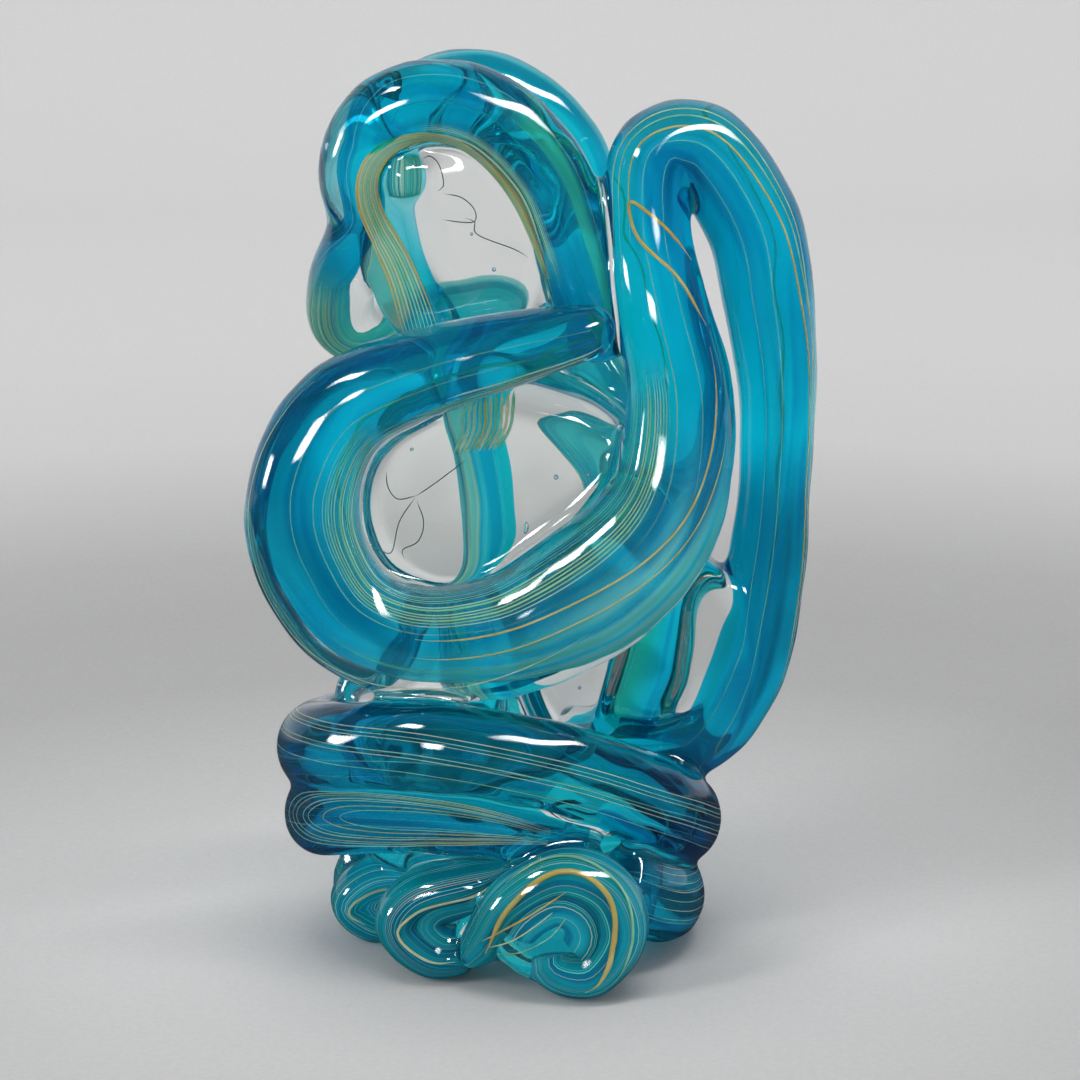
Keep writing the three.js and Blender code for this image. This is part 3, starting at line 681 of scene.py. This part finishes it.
cores["back"] = dict(
    nodes=["back_arch", "back_column"], slot="teal_glass", seed=3, threads=FEW_THREADS, strength=0.6,
    share=[(0, 0.72)], clouds=[(0, 0), (5, 0.12, 0), (10, 0.12, 0)],
    tints=[
        (0, AZURE), (2.2, AZURE), (3, PALE_BLUE), (4.6, PALE_BLUE), (5.4, AZURE), (10, AZURE),
    ],
    stripes=[
        (4, 10, 188, 9, PALE_TEAL, 0.6), (4, 10, 205, 5, PALE_GOLD, 0.75), (4, 10, 215, 4, NAVY, 0.4),
        (4, 10, 224, 6, CREAM, 0.75), (4, 10, 236, 5, (0.3, 0.75, 0.55), 0.6),
        (4, 10, 246, 4, PALE_GOLD, 0.7), (4, 10, 255, 4, DEEP_BLUE, 0.4),
        (4, 10, 264, 4, TURQUOISE, 0.5), (4, 10, 300, 4, LIGHT_TEAL, 0.4),
    ],
)
cores["waist"] = dict(
    nodes=["waist_ring_left", "waist_ring_front", "waist_ring_back", "waist_leaf"], slot="blue_glass",
    seed=4, threads=PALE_THREADS, strength=0.7, share=[(0, 0.75)],
    tints=[
        (0, LIGHT_TEAL), (2, LIGHT_TEAL), (3, SHADE_TEAL, LIGHT_TEAL), (5.6, SHADE_TEAL, LIGHT_TEAL),
        (6.6, DEEP_BLUE, LIGHT_TEAL), (8, (0.012, 0.42, 0.58), DEEP_BLUE), (9.5, LIGHT_TEAL),
        (13, DEEP_BLUE, AZURE), (16, DEEP_BLUE, AZURE),
    ],
    clouds=[
        (0, 0), (2, 0), (3, 0.2, 0), (4.5, 0.04, 0), (8, 0), (12, 0.2, 0), (13.5, 0.1, 0),
        (16, 0.05, 0),
    ],
)
cores["foot"] = dict(
    nodes=["foot_ring"], slot="teal_glass", seed=5, threads=PALE_THREADS, share=[(0, 0.72)],
    clouds=[(0, 0.14, 0.1), (2, 0.12, 0), (6, 0.15, 0), (8, 0.3, 0.2)],
    tints=[(0, DEEP_BLUE, LIGHT_TEAL), (2.5, DEEP_BLUE, LIGHT_TEAL), (4, LIGHT_TEAL)],
)
fold_core = dict(slot="teal_glass", threads=FOLD_THREADS, share=[(0, 0.72)])
cores["front_fold"] = dict(
    fold_core, nodes=["foot_fold_front"], seed=6, strength=0.8, until=7.5,
    tints=[(0, FOLD_TEAL), (5, MID_BLUE, FOLD_TEAL), (8, MID_BLUE, FOLD_TEAL)], clouds=[(0, 0.5)],
)
cores["middle_fold"] = dict(
    fold_core, nodes=["foot_fold_middle"], seed=7, strength=0.8, tints=[(0, FOLD_TEAL)],
    clouds=[(0, 0.5)],
)
cores["left_fold"] = dict(
    fold_core, nodes=["foot_fold_left"], seed=8, strength=0.6, share=[(0, 0.65)], tints=[(0, AZURE)],
    clouds=[(0, 0.3)],
)
TINT_EDGE = 2.5  # how sharply a core's two tints meet
LAY_LENGTH = 10  # millimetres along a rope that count as one step of the noise
STRIPE_FADE = (8, 0.8)  # how softly a stripe ends: degrees at its sides, places at its ends
BAND_FADE = (10, 0.6)
ABSORBED = {"blue_glass": ((0.0, 0.90, 0.976), 190), "teal_glass": ((0.0, 0.90, 0.965), 170)}


def patch_weight(turn, place, first, last, middle, half_angle, fade):
    """How much of a stripe or band covers each point."""
    away = np.abs((np.degrees(turn) - middle + 180) % 360 - 180)
    side = np.clip((half_angle - away) / fade[0] + 0.5, 0, 1)
    ends = np.clip((place - first) / fade[1], 0, 1) * np.clip((last - place) / fade[1], 0, 1)
    return side * ends


def row_columns(rows, column):
    """The places of a core's rows, and one of their columns, or the last where a row has no more."""
    return [row[0] for row in rows], np.array([row[: column + 1][-1] for row in rows], float)


def core_mesh(name, rope, core):
    """A core with what its glass reads at each point: lay along the rope, tint, cloud and band."""
    keep = (rope.along > rope.length * CORE_INSET) & (rope.along < rope.length * (1 - CORE_INSET))
    keep &= (rope.places >= core.get("since", 0)) & (rope.places < core.get("until", len(rope.places)))
    places = rope.places[keep]
    run = rope.along[keep]
    half = rope.half[keep] * np.interp(places, *row_columns(core["share"], 1))[:, None]
    shift = np.interp(places, *row_columns(core.get("shift", [(0, 0)]), 1)) * rope.half[keep][:, 0]
    centre = rope.centre[keep] + shift[:, None] * rope.across[keep]
    mesh = tube_mesh(name, centre, rope.across[keep], rope.through[keep], half, CORE_SIDES)
    turn = np.concatenate([np.tile(ring_angles(CORE_SIDES), len(places)), [0, 0]])
    ring_run = np.concatenate([np.repeat(run, CORE_SIDES), [run[0], run[-1]]])
    ring_place = np.concatenate([np.repeat(places, CORE_SIDES), [places[0], places[-1]]])
    level = np.interp(ring_place, *row_columns(core.get("level", [(0, 0)]), 1))
    outward = 0.5 + 0.5 * np.tanh(TINT_EDGE * (np.cos(turn) - level))
    share = outward[:, None]
    tint_outer = columns_at(ring_place, *row_columns(core["tints"], 1))
    tint_inner = columns_at(ring_place, *row_columns(core["tints"], 2))
    tint = tint_inner * (1 - share) + tint_outer * share
    clouds = core.get("clouds", [(0, 0)])
    cloud_outer = np.interp(ring_place, *row_columns(clouds, 1))
    cloud_inner = np.interp(ring_place, *row_columns(clouds, 2))
    cloud = cloud_inner * (1 - outward) + cloud_outer * outward
    for *extent, colour, cover in core.get("stripes", []):
        weight = patch_weight(turn, ring_place, *extent, STRIPE_FADE)
        tint = tint * (1 - weight[:, None]) + np.array(colour) * weight[:, None]
        cloud = cloud * (1 - weight) + cover * weight
    band = np.zeros(len(turn))
    for extent in core.get("bands", []):
        band = np.maximum(band, patch_weight(turn, ring_place, *extent, BAND_FADE))
    lay = np.column_stack([np.cos(turn), np.sin(turn), ring_run / LAY_LENGTH])
    tint = np.column_stack([tint, np.ones(len(tint))])
    readings = [
        ("lay", "FLOAT_VECTOR", "vector", lay), ("cloud", "FLOAT", "value", cloud),
        ("tint", "FLOAT_COLOR", "color", tint), ("band", "FLOAT", "value", band),
    ]
    for reading, kind, field, values in readings:
        mesh.attributes.new(reading, kind, "POINT").data.foreach_set(field, values.ravel())
    return mesh


def add_core(name, rope, core):
    """A coloured core in a glass of its own."""
    passed, density = ABSORBED[core["slot"]]
    density *= core.get("strength", 1)
    material = streaked_glass(name + "_glass", passed, density, core["seed"], core["threads"])
    nodes = [run + "_core" for run in core.get("nodes", [])]
    add_piece(name + "_core", core_mesh(name + "_core", rope, core), material, nodes)


for name, core in cores.items():
    add_core(name, ropes[name], core)


def nested(points, centre, scale):
    """A fold's own route drawn in towards its centre."""
    rows = np.array(points, float)
    rows[:, :3] = np.array(centre) + scale * (rows[:, :3] - np.array(centre))
    return rows


# Smaller cores inside the folds: route, the centre it is drawn in to, scale, half sizes, seed
INNER_FOLDS = {
    "front_fold": (front_fold_points, (4, -39.5, 14), 0.55, (5.4, 6.4), 12),
    "middle_fold": (middle_fold_points, (-17, -26, 13), 0.5, (4.6, 5.6), 13),
    "left_fold": (left_fold_points, (-31, -3, 9.5), 0.5, (4, 4), 14),
}
inner_core = dict(
    slot="teal_glass", threads=FOLD_THREADS, since=1.3, until=5.8, share=[(0, 0.9)],
    tints=[(0, FOLD_TEAL, AZURE)], clouds=[(0, 0.45)],
)
for fold, (points, centre, scale, half, seed) in INNER_FOLDS.items():
    rope = Rope(nested(points, centre, scale), half, DEPTH_AXIS, (False, True))
    add_core(fold + "_inner", rope, dict(inner_core, seed=seed))

# A band of pale glass behind the clear window of the front loop
BAND_HALF = (7, 3)
band_points = [
    [-2, 15, 128.5, 0.5], [4, 15, 124, 0.66], [9.5, 15, 119.5, 0.8], [15.5, 15, 113, 0.85],
    [20.5, 15, 104, 0.8],
]
band_core = dict(
    slot="teal_glass", seed=15, threads=FEW_THREADS, share=[(0, 1)], clouds=[(0, 0.35, 0.3)],
    tints=[(0, PALE_TURQUOISE, TURQUOISE)], stripes=[(-1, 5, 188, 9, PALE_GOLD, 0.7)],
)
add_core("window_band", Rope(band_points, BAND_HALF, DEPTH_AXIS, (True, True)), band_core)

drop_core = dict(
    slot="teal_glass", seed=9, threads=FOLD_THREADS, share=[(0, 0.6)], clouds=[(0, 0.4)],
    tints=[(0, TURQUOISE, SEA_GREEN)], bands=[(-1, 4, 250, 60)],
)
add_core("drop", drop, drop_core)

# Trails that stand out by themselves, each a thread of opal glass just over the core.
# On a rope: colour, rope, thread radius, then places counted in its points and angles round it in degrees.
TRAIL_LIFT = 0.84
TRAIL_SIDES = 8
TRAIL_STEP = 0.8
TRAIL_FINENESS = 16
TRAIL_LEAST = 12  # rings in the shortest thread
TRAIL_ENDS = (8, 0.15)  # how steeply a thread's ends thin out, and the least share of its radius
SPOT_FINENESS = 6
ROPE_TRAILS = [
    ("amber", "main", 0.24, [(12.6, 322), (13, 316), (14, 300), (15, 279), (16, 263), (17, 253), (18, 251)]),
    ("amber", "main", 0.17, [(13.4, 331), (14, 318), (15, 297), (16, 281), (17, 273), (18, 272)]),
    ("amber", "main", 0.2, [(22.6, 214), (23.5, 211), (24.5, 212), (25.4, 222)]),
    (
        "amber", "main", 0.24,
        [(11.3, 241), (10.3, 238), (9.3, 238), (8.3, 236), (7.3, 227), (6, 214), (4.5, 206), (3, 205)],
    ),
    (
        "amber", "main", 0.4,
        [(11.68, 335), (11.3, 303), (10.98, 271), (10.8, 240), (11.35, 255), (11.93, 305), (12.4, 328)],
    ),
    (
        "amber", "arch", 0.34,
        [(1.4, 338), (2.4, 333), (3.4, 332), (4.6, 334), (5.8, 335), (7, 335), (7.8, 330)],
    ),
    (
        "amber", "front_fold", 0.6,
        [(1, 262), (2, 280), (2.7, 296), (3.3, 300), (4, 285), (5, 262), (5.6, 276), (6.2, 300)],
    ),
    ("cream", "main", 0.15, [(22, 335), (21, 342), (20, 344), (19, 335), (18, 318), (17, 300), (16.2, 294)]),
    (
        "cream", "main", 0.16,
        [(11.5, 203), (10.5, 206), (9.5, 206), (8.5, 208), (7.5, 209), (6.5, 206), (5.5, 204)],
    ),
    ("cream", "main", 0.24, [(23.2, 226), (24, 224), (25, 226), (25.6, 236)]),
    ("cream", "arch", 0.28, [(2.0, 322), (3.2, 320), (4.6, 322), (6, 324), (7.2, 322)]),
    (
        "cream", "middle_fold", 0.3,
        [(0.6, 300), (1.5, 296), (2.5, 292), (3.3, 284), (4, 270), (4.8, 275), (5.6, 282)],
    ),
    ("cream", "left_fold", 0.28, [(2, 292), (3, 286), (3.8, 276), (4.6, 280)]),
    (
        "green", "main", 0.2,
        [(11.5, 222), (10.5, 221), (9.5, 220), (8.5, 221), (7.5, 216), (6, 200), (4.5, 196), (2.6, 200)],
    ),
    ("green", "arch", 0.3, [(0.6, 352), (1.6, 350), (2.6, 346), (3.6, 345), (4.8, 346), (6, 348), (7, 346)]),
    ("green", "front_fold", 0.3, [(2.2, 330), (3, 335), (4, 318), (5, 300), (5.8, 318)]),
]
rope_trails = {"amber": [], "cream": [], "green": [], "shade": []}
for hue, *trail in ROPE_TRAILS:
    rope_trails[hue].append(trail)
# Lines along the waist and round the foot: angle, colour, thread radius
WAIST_ROUTE = [(1.5, 80), (3, 66), (4.5, 40), (6, 22), (7.5, 14), (8.6, 10)]
WAIST_LINES = [
    (0, "cream", 0.1), (7, "green", 0.08), (12, "cream", 0.07), (30, "green", 0.1), (36, "cream", 0.08),
    (58, "green", 0.08),
]
for turned, hue, radius in WAIST_LINES:
    spots = [(place, angle - turned) for place, angle in WAIST_ROUTE]
    rope_trails[hue].append(("waist", radius, spots))
FOOT_PLACES = (0.3, 1, 2, 3, 4)
FOOT_LINES = [
    (58, "green", 0.1), (44, "cream", 0.1), (30, "green", 0.09), (17, "cream", 0.1), (3, "green", 0.1),
    (-11, "cream", 0.09), (-26, "green", 0.1),
]
for angle, hue, radius in FOOT_LINES:
    spots = [(place, angle) for place in FOOT_PLACES]
    rope_trails[hue].append(("foot", radius, spots))
# Lines that turn back at the tip of the waist leaf: width, how far each is drawn in, colour, thread radius
LEAF_TURN = [
    (15.5, 24), (14.7, 48), (13.9, 60), (13.25, 48), (12.95, 6), (13.25, -36), (13.9, -50), (14.7, -40),
    (15.5, -8),
]
LEAF_END = 15.5
LEAF_LENGTH = 2.5
LEAF_MIDDLE = 6
LEAF_LINES = [
    (1, 0, "cream", 0.12), (0.88, 0.12, "green", 0.12), (0.8, 0.2, "amber", 0.1),
    (0.66, 0.32, "cream", 0.11), (0.58, 0.4, "green", 0.1), (0.42, 0.6, "amber", 0.1),
    (0.3, 0.8, "green", 0.08),
]
for width, inset, hue, radius in LEAF_LINES:
    spots = []
    for place, angle in LEAF_TURN:
        drawn_in = place + inset * (LEAF_END - place) / LEAF_LENGTH
        spots.append((drawn_in, LEAF_MIDDLE + width * (angle - LEAF_MIDDLE)))
    rope_trails[hue].append(("waist", radius, spots))
# In the clear glass. A twist starts on the arch: place, first and last angle. Then it falls: x, y, z, pitch.
TWIST_ON_ARCH = [(1.6, 330, 348), (3, 326, 346), (4.2, 324, 346), (4.8, 321, 344), (5.3, 316, 341)]
WINDOW_TWIST = [
    (-31.2, -4.8, 188.2, 0.5), (-35.3, -6.2, 184.3, 0.52), (-37.8, -4.5, 179.2, 0.54),
    (-37.8, -2.8, 174.1, 0.56), (-35.6, -2.2, 168.6, 0.6), (-32.1, -2, 164.6, 0.62),
    (-29.5, -2, 159.6, 0.66), (-27.5, -2.3, 154.2, 0.72), (-25.7, -2.7, 147.5, 0.8),
    (-24.4, -3, 143.0, 0.88),
]
TWIST_EVENING = 24
TWIST_RADIUS = 0.27
TWIST_BACK = 0.3  # how far its outer threads lie back, as a share of their distance from the middle
# Painted shade: thin dark threads in the clear glass, standing in for the dark lines refraction draws there
SHADE_LINE_RADIUS = 0.13
PAINTED_SHADE_LINES = [  # depth, then places across and heights
    (-9, [(-32.8, 113.7), (-32.3, 110.1), (-30.1, 107.3), (-25.8, 108)]),
    (-9, [(-25.8, 108), (-20.6, 111.7), (-15, 116)]),
    (-9, [(-26.1, 107.7), (-29.7, 102), (-31.8, 94.8), (-35.4, 95), (-37.7, 93.9)]),
    (-9, [(-25.8, 106.8), (-24.3, 102), (-25.5, 97.6), (-29.1, 95.5), (-28.7, 93.2)]),
    (-3, [(-14.6, 169.8), (-12.4, 168.9), (-11.9, 166.2), (-3.9, 163), (-0.4, 161.2)]),
    (-4, [(-19.5, 175.3), (-15.5, 174.5), (-12.6, 172.0), (-12.3, 169.3), (-15.0, 168.9), (-19.9, 169.5)]),
    (-3.2, [(-24.3, 182.5), (-22.5, 183.4), (-20.3, 181.2), (-19.4, 177.2), (-20.8, 175.8)]),
]
# Lines over the front fold
WEDGE = [
    ("amber", 0.2, [(-10.8, -40, 13), (-6.1, -42.4, 16.3), (1, -43.2, 20.9), (7.6, -43, 25.5)]),
    ("cream", 0.15, [(-9.5, -40, 11.6), (-4.3, -42.4, 13.9), (1.4, -43.2, 18.1), (6.3, -43.4, 22.3)]),
    ("green", 0.15, [(-7.5, -39.6, 10.4), (-2, -42.2, 11.5), (4, -43.2, 15), (8, -43.4, 20)]),
]
# Threads side by side in the clear glass of the front loop: where the first and the last start and end
SHELF_TOP = ((-16.5, -6, 128.5), (-3.5, -6, 129.4))
SHELF_FOOT = ((-18, -6, 117), (-6.8, -6, 118.4))
SHELF_BEND = (1.2, 0, 0)
SHELF_RADIUS = 0.4
shelf_hues = "green cream cream green amber cream green cream cream green".split()
twist_hues = "amber cream green cream green green cream green cream amber".split()
painted_shade_lines = [(SHADE_LINE_RADIUS, [(x, depth, z) for x, z in line]) for depth, line in PAINTED_SHADE_LINES]
free_trails = {"amber": [], "cream": [], "green": [], "shade": painted_shade_lines}


def trail_mesh(name, lines):
    """Threads as one mesh: each is a round tube that thins out at its ends."""
    heap = bmesh.new()
    for radius, points in lines:
        fine = catmull_rom(points, np.linspace(0, len(points) - 1, TRAIL_FINENESS * len(points)))
        run = np.concatenate([[0], np.cumsum(np.linalg.norm(np.diff(fine, axis=0), axis=1))])
        even = np.linspace(0, run[-1], max(TRAIL_LEAST, int(run[-1] / TRAIL_STEP)))
        centre = columns_at(even, run, fine)
        tangent = unit_rows(np.gradient(centre, axis=0))
        side = unit_rows(np.cross(tangent, DEPTH_AXIS + 0.1 * HEIGHT_AXIS))
        share = np.linspace(0, 1, len(centre))
        thin = np.clip(np.minimum(share, 1 - share) * TRAIL_ENDS[0], TRAIL_ENDS[1], 1)
        half = np.column_stack([radius * thin, radius * thin])
        mesh = tube_mesh(name, centre, side, np.cross(tangent, side), half, TRAIL_SIDES)
        heap.from_mesh(mesh)
        bpy.data.meshes.remove(mesh)
    mesh = bpy.data.meshes.new(name)
    heap.to_mesh(mesh)
    heap.free()
    return mesh


def on_rope(rope, spots):
    """Points just over a rope's core, from places along it and angles round it."""
    fine = catmull_rom(spots, np.linspace(0, len(spots) - 1, SPOT_FINENESS * len(spots)))
    centre, across, through, half = rope.at(fine[:, 0])
    angle = np.radians(fine[:, 1:])
    out = np.cos(angle) * half[:, :1] * across + np.sin(angle) * half[:, 1:] * through
    return centre + TRAIL_LIFT * out


twist_table = np.array(WINDOW_TWIST)
twist_line = twist_table[:, :3]
twist_run = np.gradient(twist_line, axis=0)
twist_out = unit_rows(np.column_stack([twist_run[:, 2], 0 * twist_run[:, 1], -twist_run[:, 0]]))
for rank, hue in enumerate(twist_hues):
    share = rank / (len(twist_hues) - 1)
    spots = [(place, first + (last - first) * share) for place, first, last in TWIST_ON_ARCH]
    aside = (0.5 * (len(twist_hues) - 1) - rank) * twist_table[:, 3:]
    falling = twist_line + aside * twist_out + TWIST_BACK * np.abs(aside) * DEPTH_AXIS
    joined = np.vstack([on_rope(ropes["arch"], spots)[::3], falling])
    joined = catmull_rom(joined, np.linspace(0, len(joined) - 1, 3 * len(joined)))
    for _ in range(TWIST_EVENING):
        joined[1:-1] = 0.25 * joined[:-2] + 0.5 * joined[1:-1] + 0.25 * joined[2:]
    free_trails[hue].append((TWIST_RADIUS, joined))

for hue, radius, line in WEDGE:
    free_trails[hue].append((radius, line))
for rank, hue in enumerate(shelf_hues):
    share = (rank + 0.5) / len(shelf_hues)
    top, low = (np.array(a) * (1 - share) + np.array(b) * share for a, b in (SHELF_TOP, SHELF_FOOT))
    bend = 0.5 * (top + low) + np.array(SHELF_BEND)
    free_trails[hue].append((SHELF_RADIUS, [top, bend, low]))

# Two colours for each kind of thread; the shade threads are painted shade
TRAIL_COLOURS = {
    "amber": ((0.80, 0.60, 0.18), (0.88, 0.72, 0.30)),
    "cream": ((0.90, 0.84, 0.50), (0.80, 0.88, 0.62)),
    "shade": ((0.06, 0.12, 0.13), (0.14, 0.22, 0.22)),
    "green": ((0.36, 0.74, 0.42), (0.55, 0.86, 0.62)),
}
for hue, rows in rope_trails.items():
    lines = [(radius, on_rope(ropes[rope], spots)) for rope, radius, spots in rows]
    shape = trail_mesh(hue + "_trails", lines + free_trails[hue])
    add_piece(hue + "_trails", shape, trail_glass(hue + "_glass", *TRAIL_COLOURS[hue]))


def mirrored_ray(tree, path):
    """1 for a ray that was mirrored by the glass, 0 for one that comes straight or through it."""
    return clamp(tree, number(tree, "SUBTRACT", path["Is Glossy Ray"], path["Is Transmission Ray"]))


# Stage: a pale floor that rises behind into a backdrop. Its grey goes by half the distance in metres,
# and the grading is painted light and shade: lighter under the ornament, where it lifts the cast shadow,
# darker a little way out, and lighter towards the backdrop, against the lamps' fall-off.
FLOOR_GAP = 0.0004  # the floor lies this far under the foot, as glass only touches it here and there
FLOOR_GRAIN = 900.0
FLOOR_FRONT = -3.0
WALL_DISTANCE = 1.3
WALL_BEND = 0.5
WALL_STEPS = 24
WALL_TOP = 2.2
STAGE_HALF = 3.0
MIRROR_LIMIT = 0.4  # the floor nearer than this, in metres behind the ornament, is dim in its reflections
MIRROR_FADE = 0.2
MIRROR_GREY = (0.04, 0.04, 0.04, 1)
# Half distance and grey: its rises and dips are painted light and shade
STAGE_GREYS_AND_PAINTED_LIGHT = [
    (0.04, 0.50), (0.065, 0.43), (0.12, 0.345), (0.16, 0.345), (0.2, 0.375), (0.25, 0.46), (0.3, 0.54),
    (0.42, 0.60), (0.5, 0.62), (0.7, 0.64), (0.95, 0.67),
]
stage_matt = {"Roughness": 0.9, "Specular IOR Level": 0}
stage_material, stage_tree, stage_shader = principled("backdrop", stage_matt)
stage_place = add_node(stage_tree, "NewGeometry").outputs["Position"]
stage_distance = add_node(stage_tree, "VectorMath", stage_place, operation="LENGTH")
stage_far = number(stage_tree, "MULTIPLY", stage_distance.outputs["Value"], 0.5)
stage_grey_and_painted_light = ramp(stage_tree, stage_far, STAGE_GREYS_AND_PAINTED_LIGHT)
grain = ramp(stage_tree, noise(stage_tree, stage_place, 1.0, 2, FLOOR_GRAIN, 3), [(0.3, 0.94), (0.7, 1.0)])
grained = mix_colours(stage_tree, 1.0, stage_grey_and_painted_light, grain, "MULTIPLY")
depth = add_node(stage_tree, "SeparateXYZ", stage_place).outputs["Y"]
in_front = number(stage_tree, "MULTIPLY_ADD", depth, -1 / MIRROR_FADE, MIRROR_LIMIT / MIRROR_FADE)
stage_path = add_node(stage_tree, "LightPath").outputs
dimmed = number(stage_tree, "MULTIPLY", mirrored_ray(stage_tree, stage_path), clamp(stage_tree, in_front))
seen = mix_colours(stage_tree, dimmed, grained, MIRROR_GREY)
stage_tree.links.new(seen, stage_shader.inputs["Base Color"])
profile = [(FLOOR_FRONT, -FLOOR_GAP), (WALL_DISTANCE, -FLOOR_GAP)]
for step in range(1, WALL_STEPS + 1):
    angle = math.radians(90) * step / WALL_STEPS
    profile.append((WALL_DISTANCE + WALL_BEND * math.sin(angle), WALL_BEND - WALL_BEND * math.cos(angle)))
profile.append((WALL_DISTANCE + WALL_BEND, WALL_TOP))
stage_mesh = bpy.data.meshes.new("backdrop")
stage_verts = [(x, y, z) for y, z in profile for x in (-STAGE_HALF, STAGE_HALF)]
stage_faces = [(2 * i, 2 * i + 1, 2 * i + 3, 2 * i + 2) for i in range(len(profile) - 1)]
stage_mesh.from_pydata(stage_verts, [], stage_faces)
backdrop = bpy.data.objects.new("backdrop", stage_mesh)
bpy.context.collection.objects.link(backdrop)
backdrop.data.materials.append(stage_material)
for polygon in backdrop.data.polygons:
    polygon.use_smooth = True


# Light
def softbox(name, place, target, width, height, power):
    data = bpy.data.lights.new(name, "AREA")
    data.shape = "RECTANGLE"
    data.size = width
    data.size_y = height
    data.energy = power
    lamp = bpy.data.objects.new(name, data)
    lamp.location = place
    lamp.rotation_euler = (Vector(target) - Vector(place)).to_track_quat("-Z", "Y").to_euler()
    bpy.context.collection.objects.link(lamp)
    return lamp


def fade_edges(lamp):
    """Lets a panel's light fade out towards its edges, as a cloth-fronted lamp's does."""
    lamp.data.use_nodes = True
    tree = lamp.data.node_tree
    place = add_node(tree, "NewGeometry").outputs["Parametric"]
    axes = add_node(tree, "SeparateXYZ", place).outputs
    fades = []
    for axis in ("X", "Y"):
        to_far_edge = number(tree, "SUBTRACT", 1.0, axes[axis])
        to_edge = number(tree, "MINIMUM", axes[axis], to_far_edge)
        fades.append(clamp(tree, number(tree, "MULTIPLY", to_edge, 1 / PANEL_FADE)))
    tree.links.new(number(tree, "MULTIPLY", *fades), tree.nodes["Emission"].inputs["Strength"])


# Place, what it faces, width, height, power. The lamps light the scene; the panels are what the
# polished glass mirrors of them, and light nothing else.
PANEL_FADE = 0.3  # share of a panel's side over which its light fades
LAMPS = {
    "key": ((-0.85, -0.62, 0.55), (0, 0, 0.1), 0.22, 0.5, 5.5),
    "overhead": ((0.10, -0.28, 1.2), (0, 0, 0.1), 0.8, 0.09, 5.4),
    "wash": ((0, 1.2, 2.4), (0, 1.3, 0), 3.0, 1.5, 26),
}
PANELS = {
    "right_panel": ((0.54, -0.45, 1.0), (0, 0, 0.1), 1.24, 0.25, 38),
    "left_panel": ((-0.66, -0.45, 1.0), (0, 0, 0.1), 0.3, 0.22, 9),
    "left_screen": ((-1.05, -0.12, 0.26), (0, 0, 0.08), 0.26, 0.26, 8),
    "front_screen": ((-0.5, -0.95, 0.36), (0, 0, 0.12), 0.34, 0.26, 10.5),
}
for name, setting in LAMPS.items():
    lamp = softbox(name, *setting)
    lamp.visible_glossy = False
    lamp.visible_transmission = False
for name, setting in PANELS.items():
    panel = softbox(name, *setting)
    panel.visible_diffuse = False
    panel.visible_transmission = False
    fade_edges(panel)

# The room: pale grey, darker towards the front where it is seen through the glass or mirrored in it
ROOM_GREY = (0.6, 0.6, 0.605, 1)
world = bpy.data.worlds.new("studio")
bpy.context.scene.world = world
world.use_nodes = True
room = world.node_tree
room_place = add_node(room, "TexCoord").outputs["Generated"]
room_depth = add_node(room, "SeparateXYZ", room_place).outputs["Y"]
toward_back = number(room, "MULTIPLY_ADD", room_depth, 0.5, 0.5)
room_shade = ramp(room, toward_back, [(0.35, 0.03), (0.6, 0.08), (0.95, 0.28)])
light_path = add_node(room, "LightPath").outputs
through_shade = ramp(room, toward_back, [(0.2, 0.12), (0.5, 0.34), (0.8, 0.6)])
undimmed = clamp(room, number(room, "SUBTRACT", 1.0, light_path["Diffuse Depth"]))
looked_through = number(room, "MULTIPLY", light_path["Is Transmission Ray"], undimmed)
room_through = mix_colours(room, looked_through, ROOM_GREY, through_shade)
room_colour = mix_colours(room, mirrored_ray(room, light_path), room_through, room_shade)
room.links.new(room_colour, room.nodes["Background"].inputs["Color"])

# Camera
forward = Vector((0, math.cos(VIEW_TILT), -math.sin(VIEW_TILT)))
upward = Vector((0, math.sin(VIEW_TILT), math.cos(VIEW_TILT)))
middle = VIEW_PIXELS / 2
sideways = Vector((middle - ORIGIN_PIXEL[0], 0, 0)) * VIEW_SCALE
aim = sideways + upward * (ORIGIN_PIXEL[1] - middle) * VIEW_SCALE
camera_data = bpy.data.cameras.new("camera")
camera_data.sensor_width = SENSOR
camera_data.lens = SENSOR * VIEW_DISTANCE / VIEW_SCALE / VIEW_PIXELS
camera = bpy.data.objects.new("camera", camera_data)
camera.location = (aim - forward * VIEW_DISTANCE) * MM
camera.rotation_euler = forward.to_track_quat("-Z", "Y").to_euler()
bpy.context.collection.objects.link(camera)

scene = bpy.context.scene
scene.camera = camera
scene.view_settings.view_transform = "Standard"
scene.cycles.max_bounces = 40
scene.cycles.transmission_bounces = 40
scene.cycles.glossy_bounces = 12
scene.cycles.transparent_max_bounces = 40
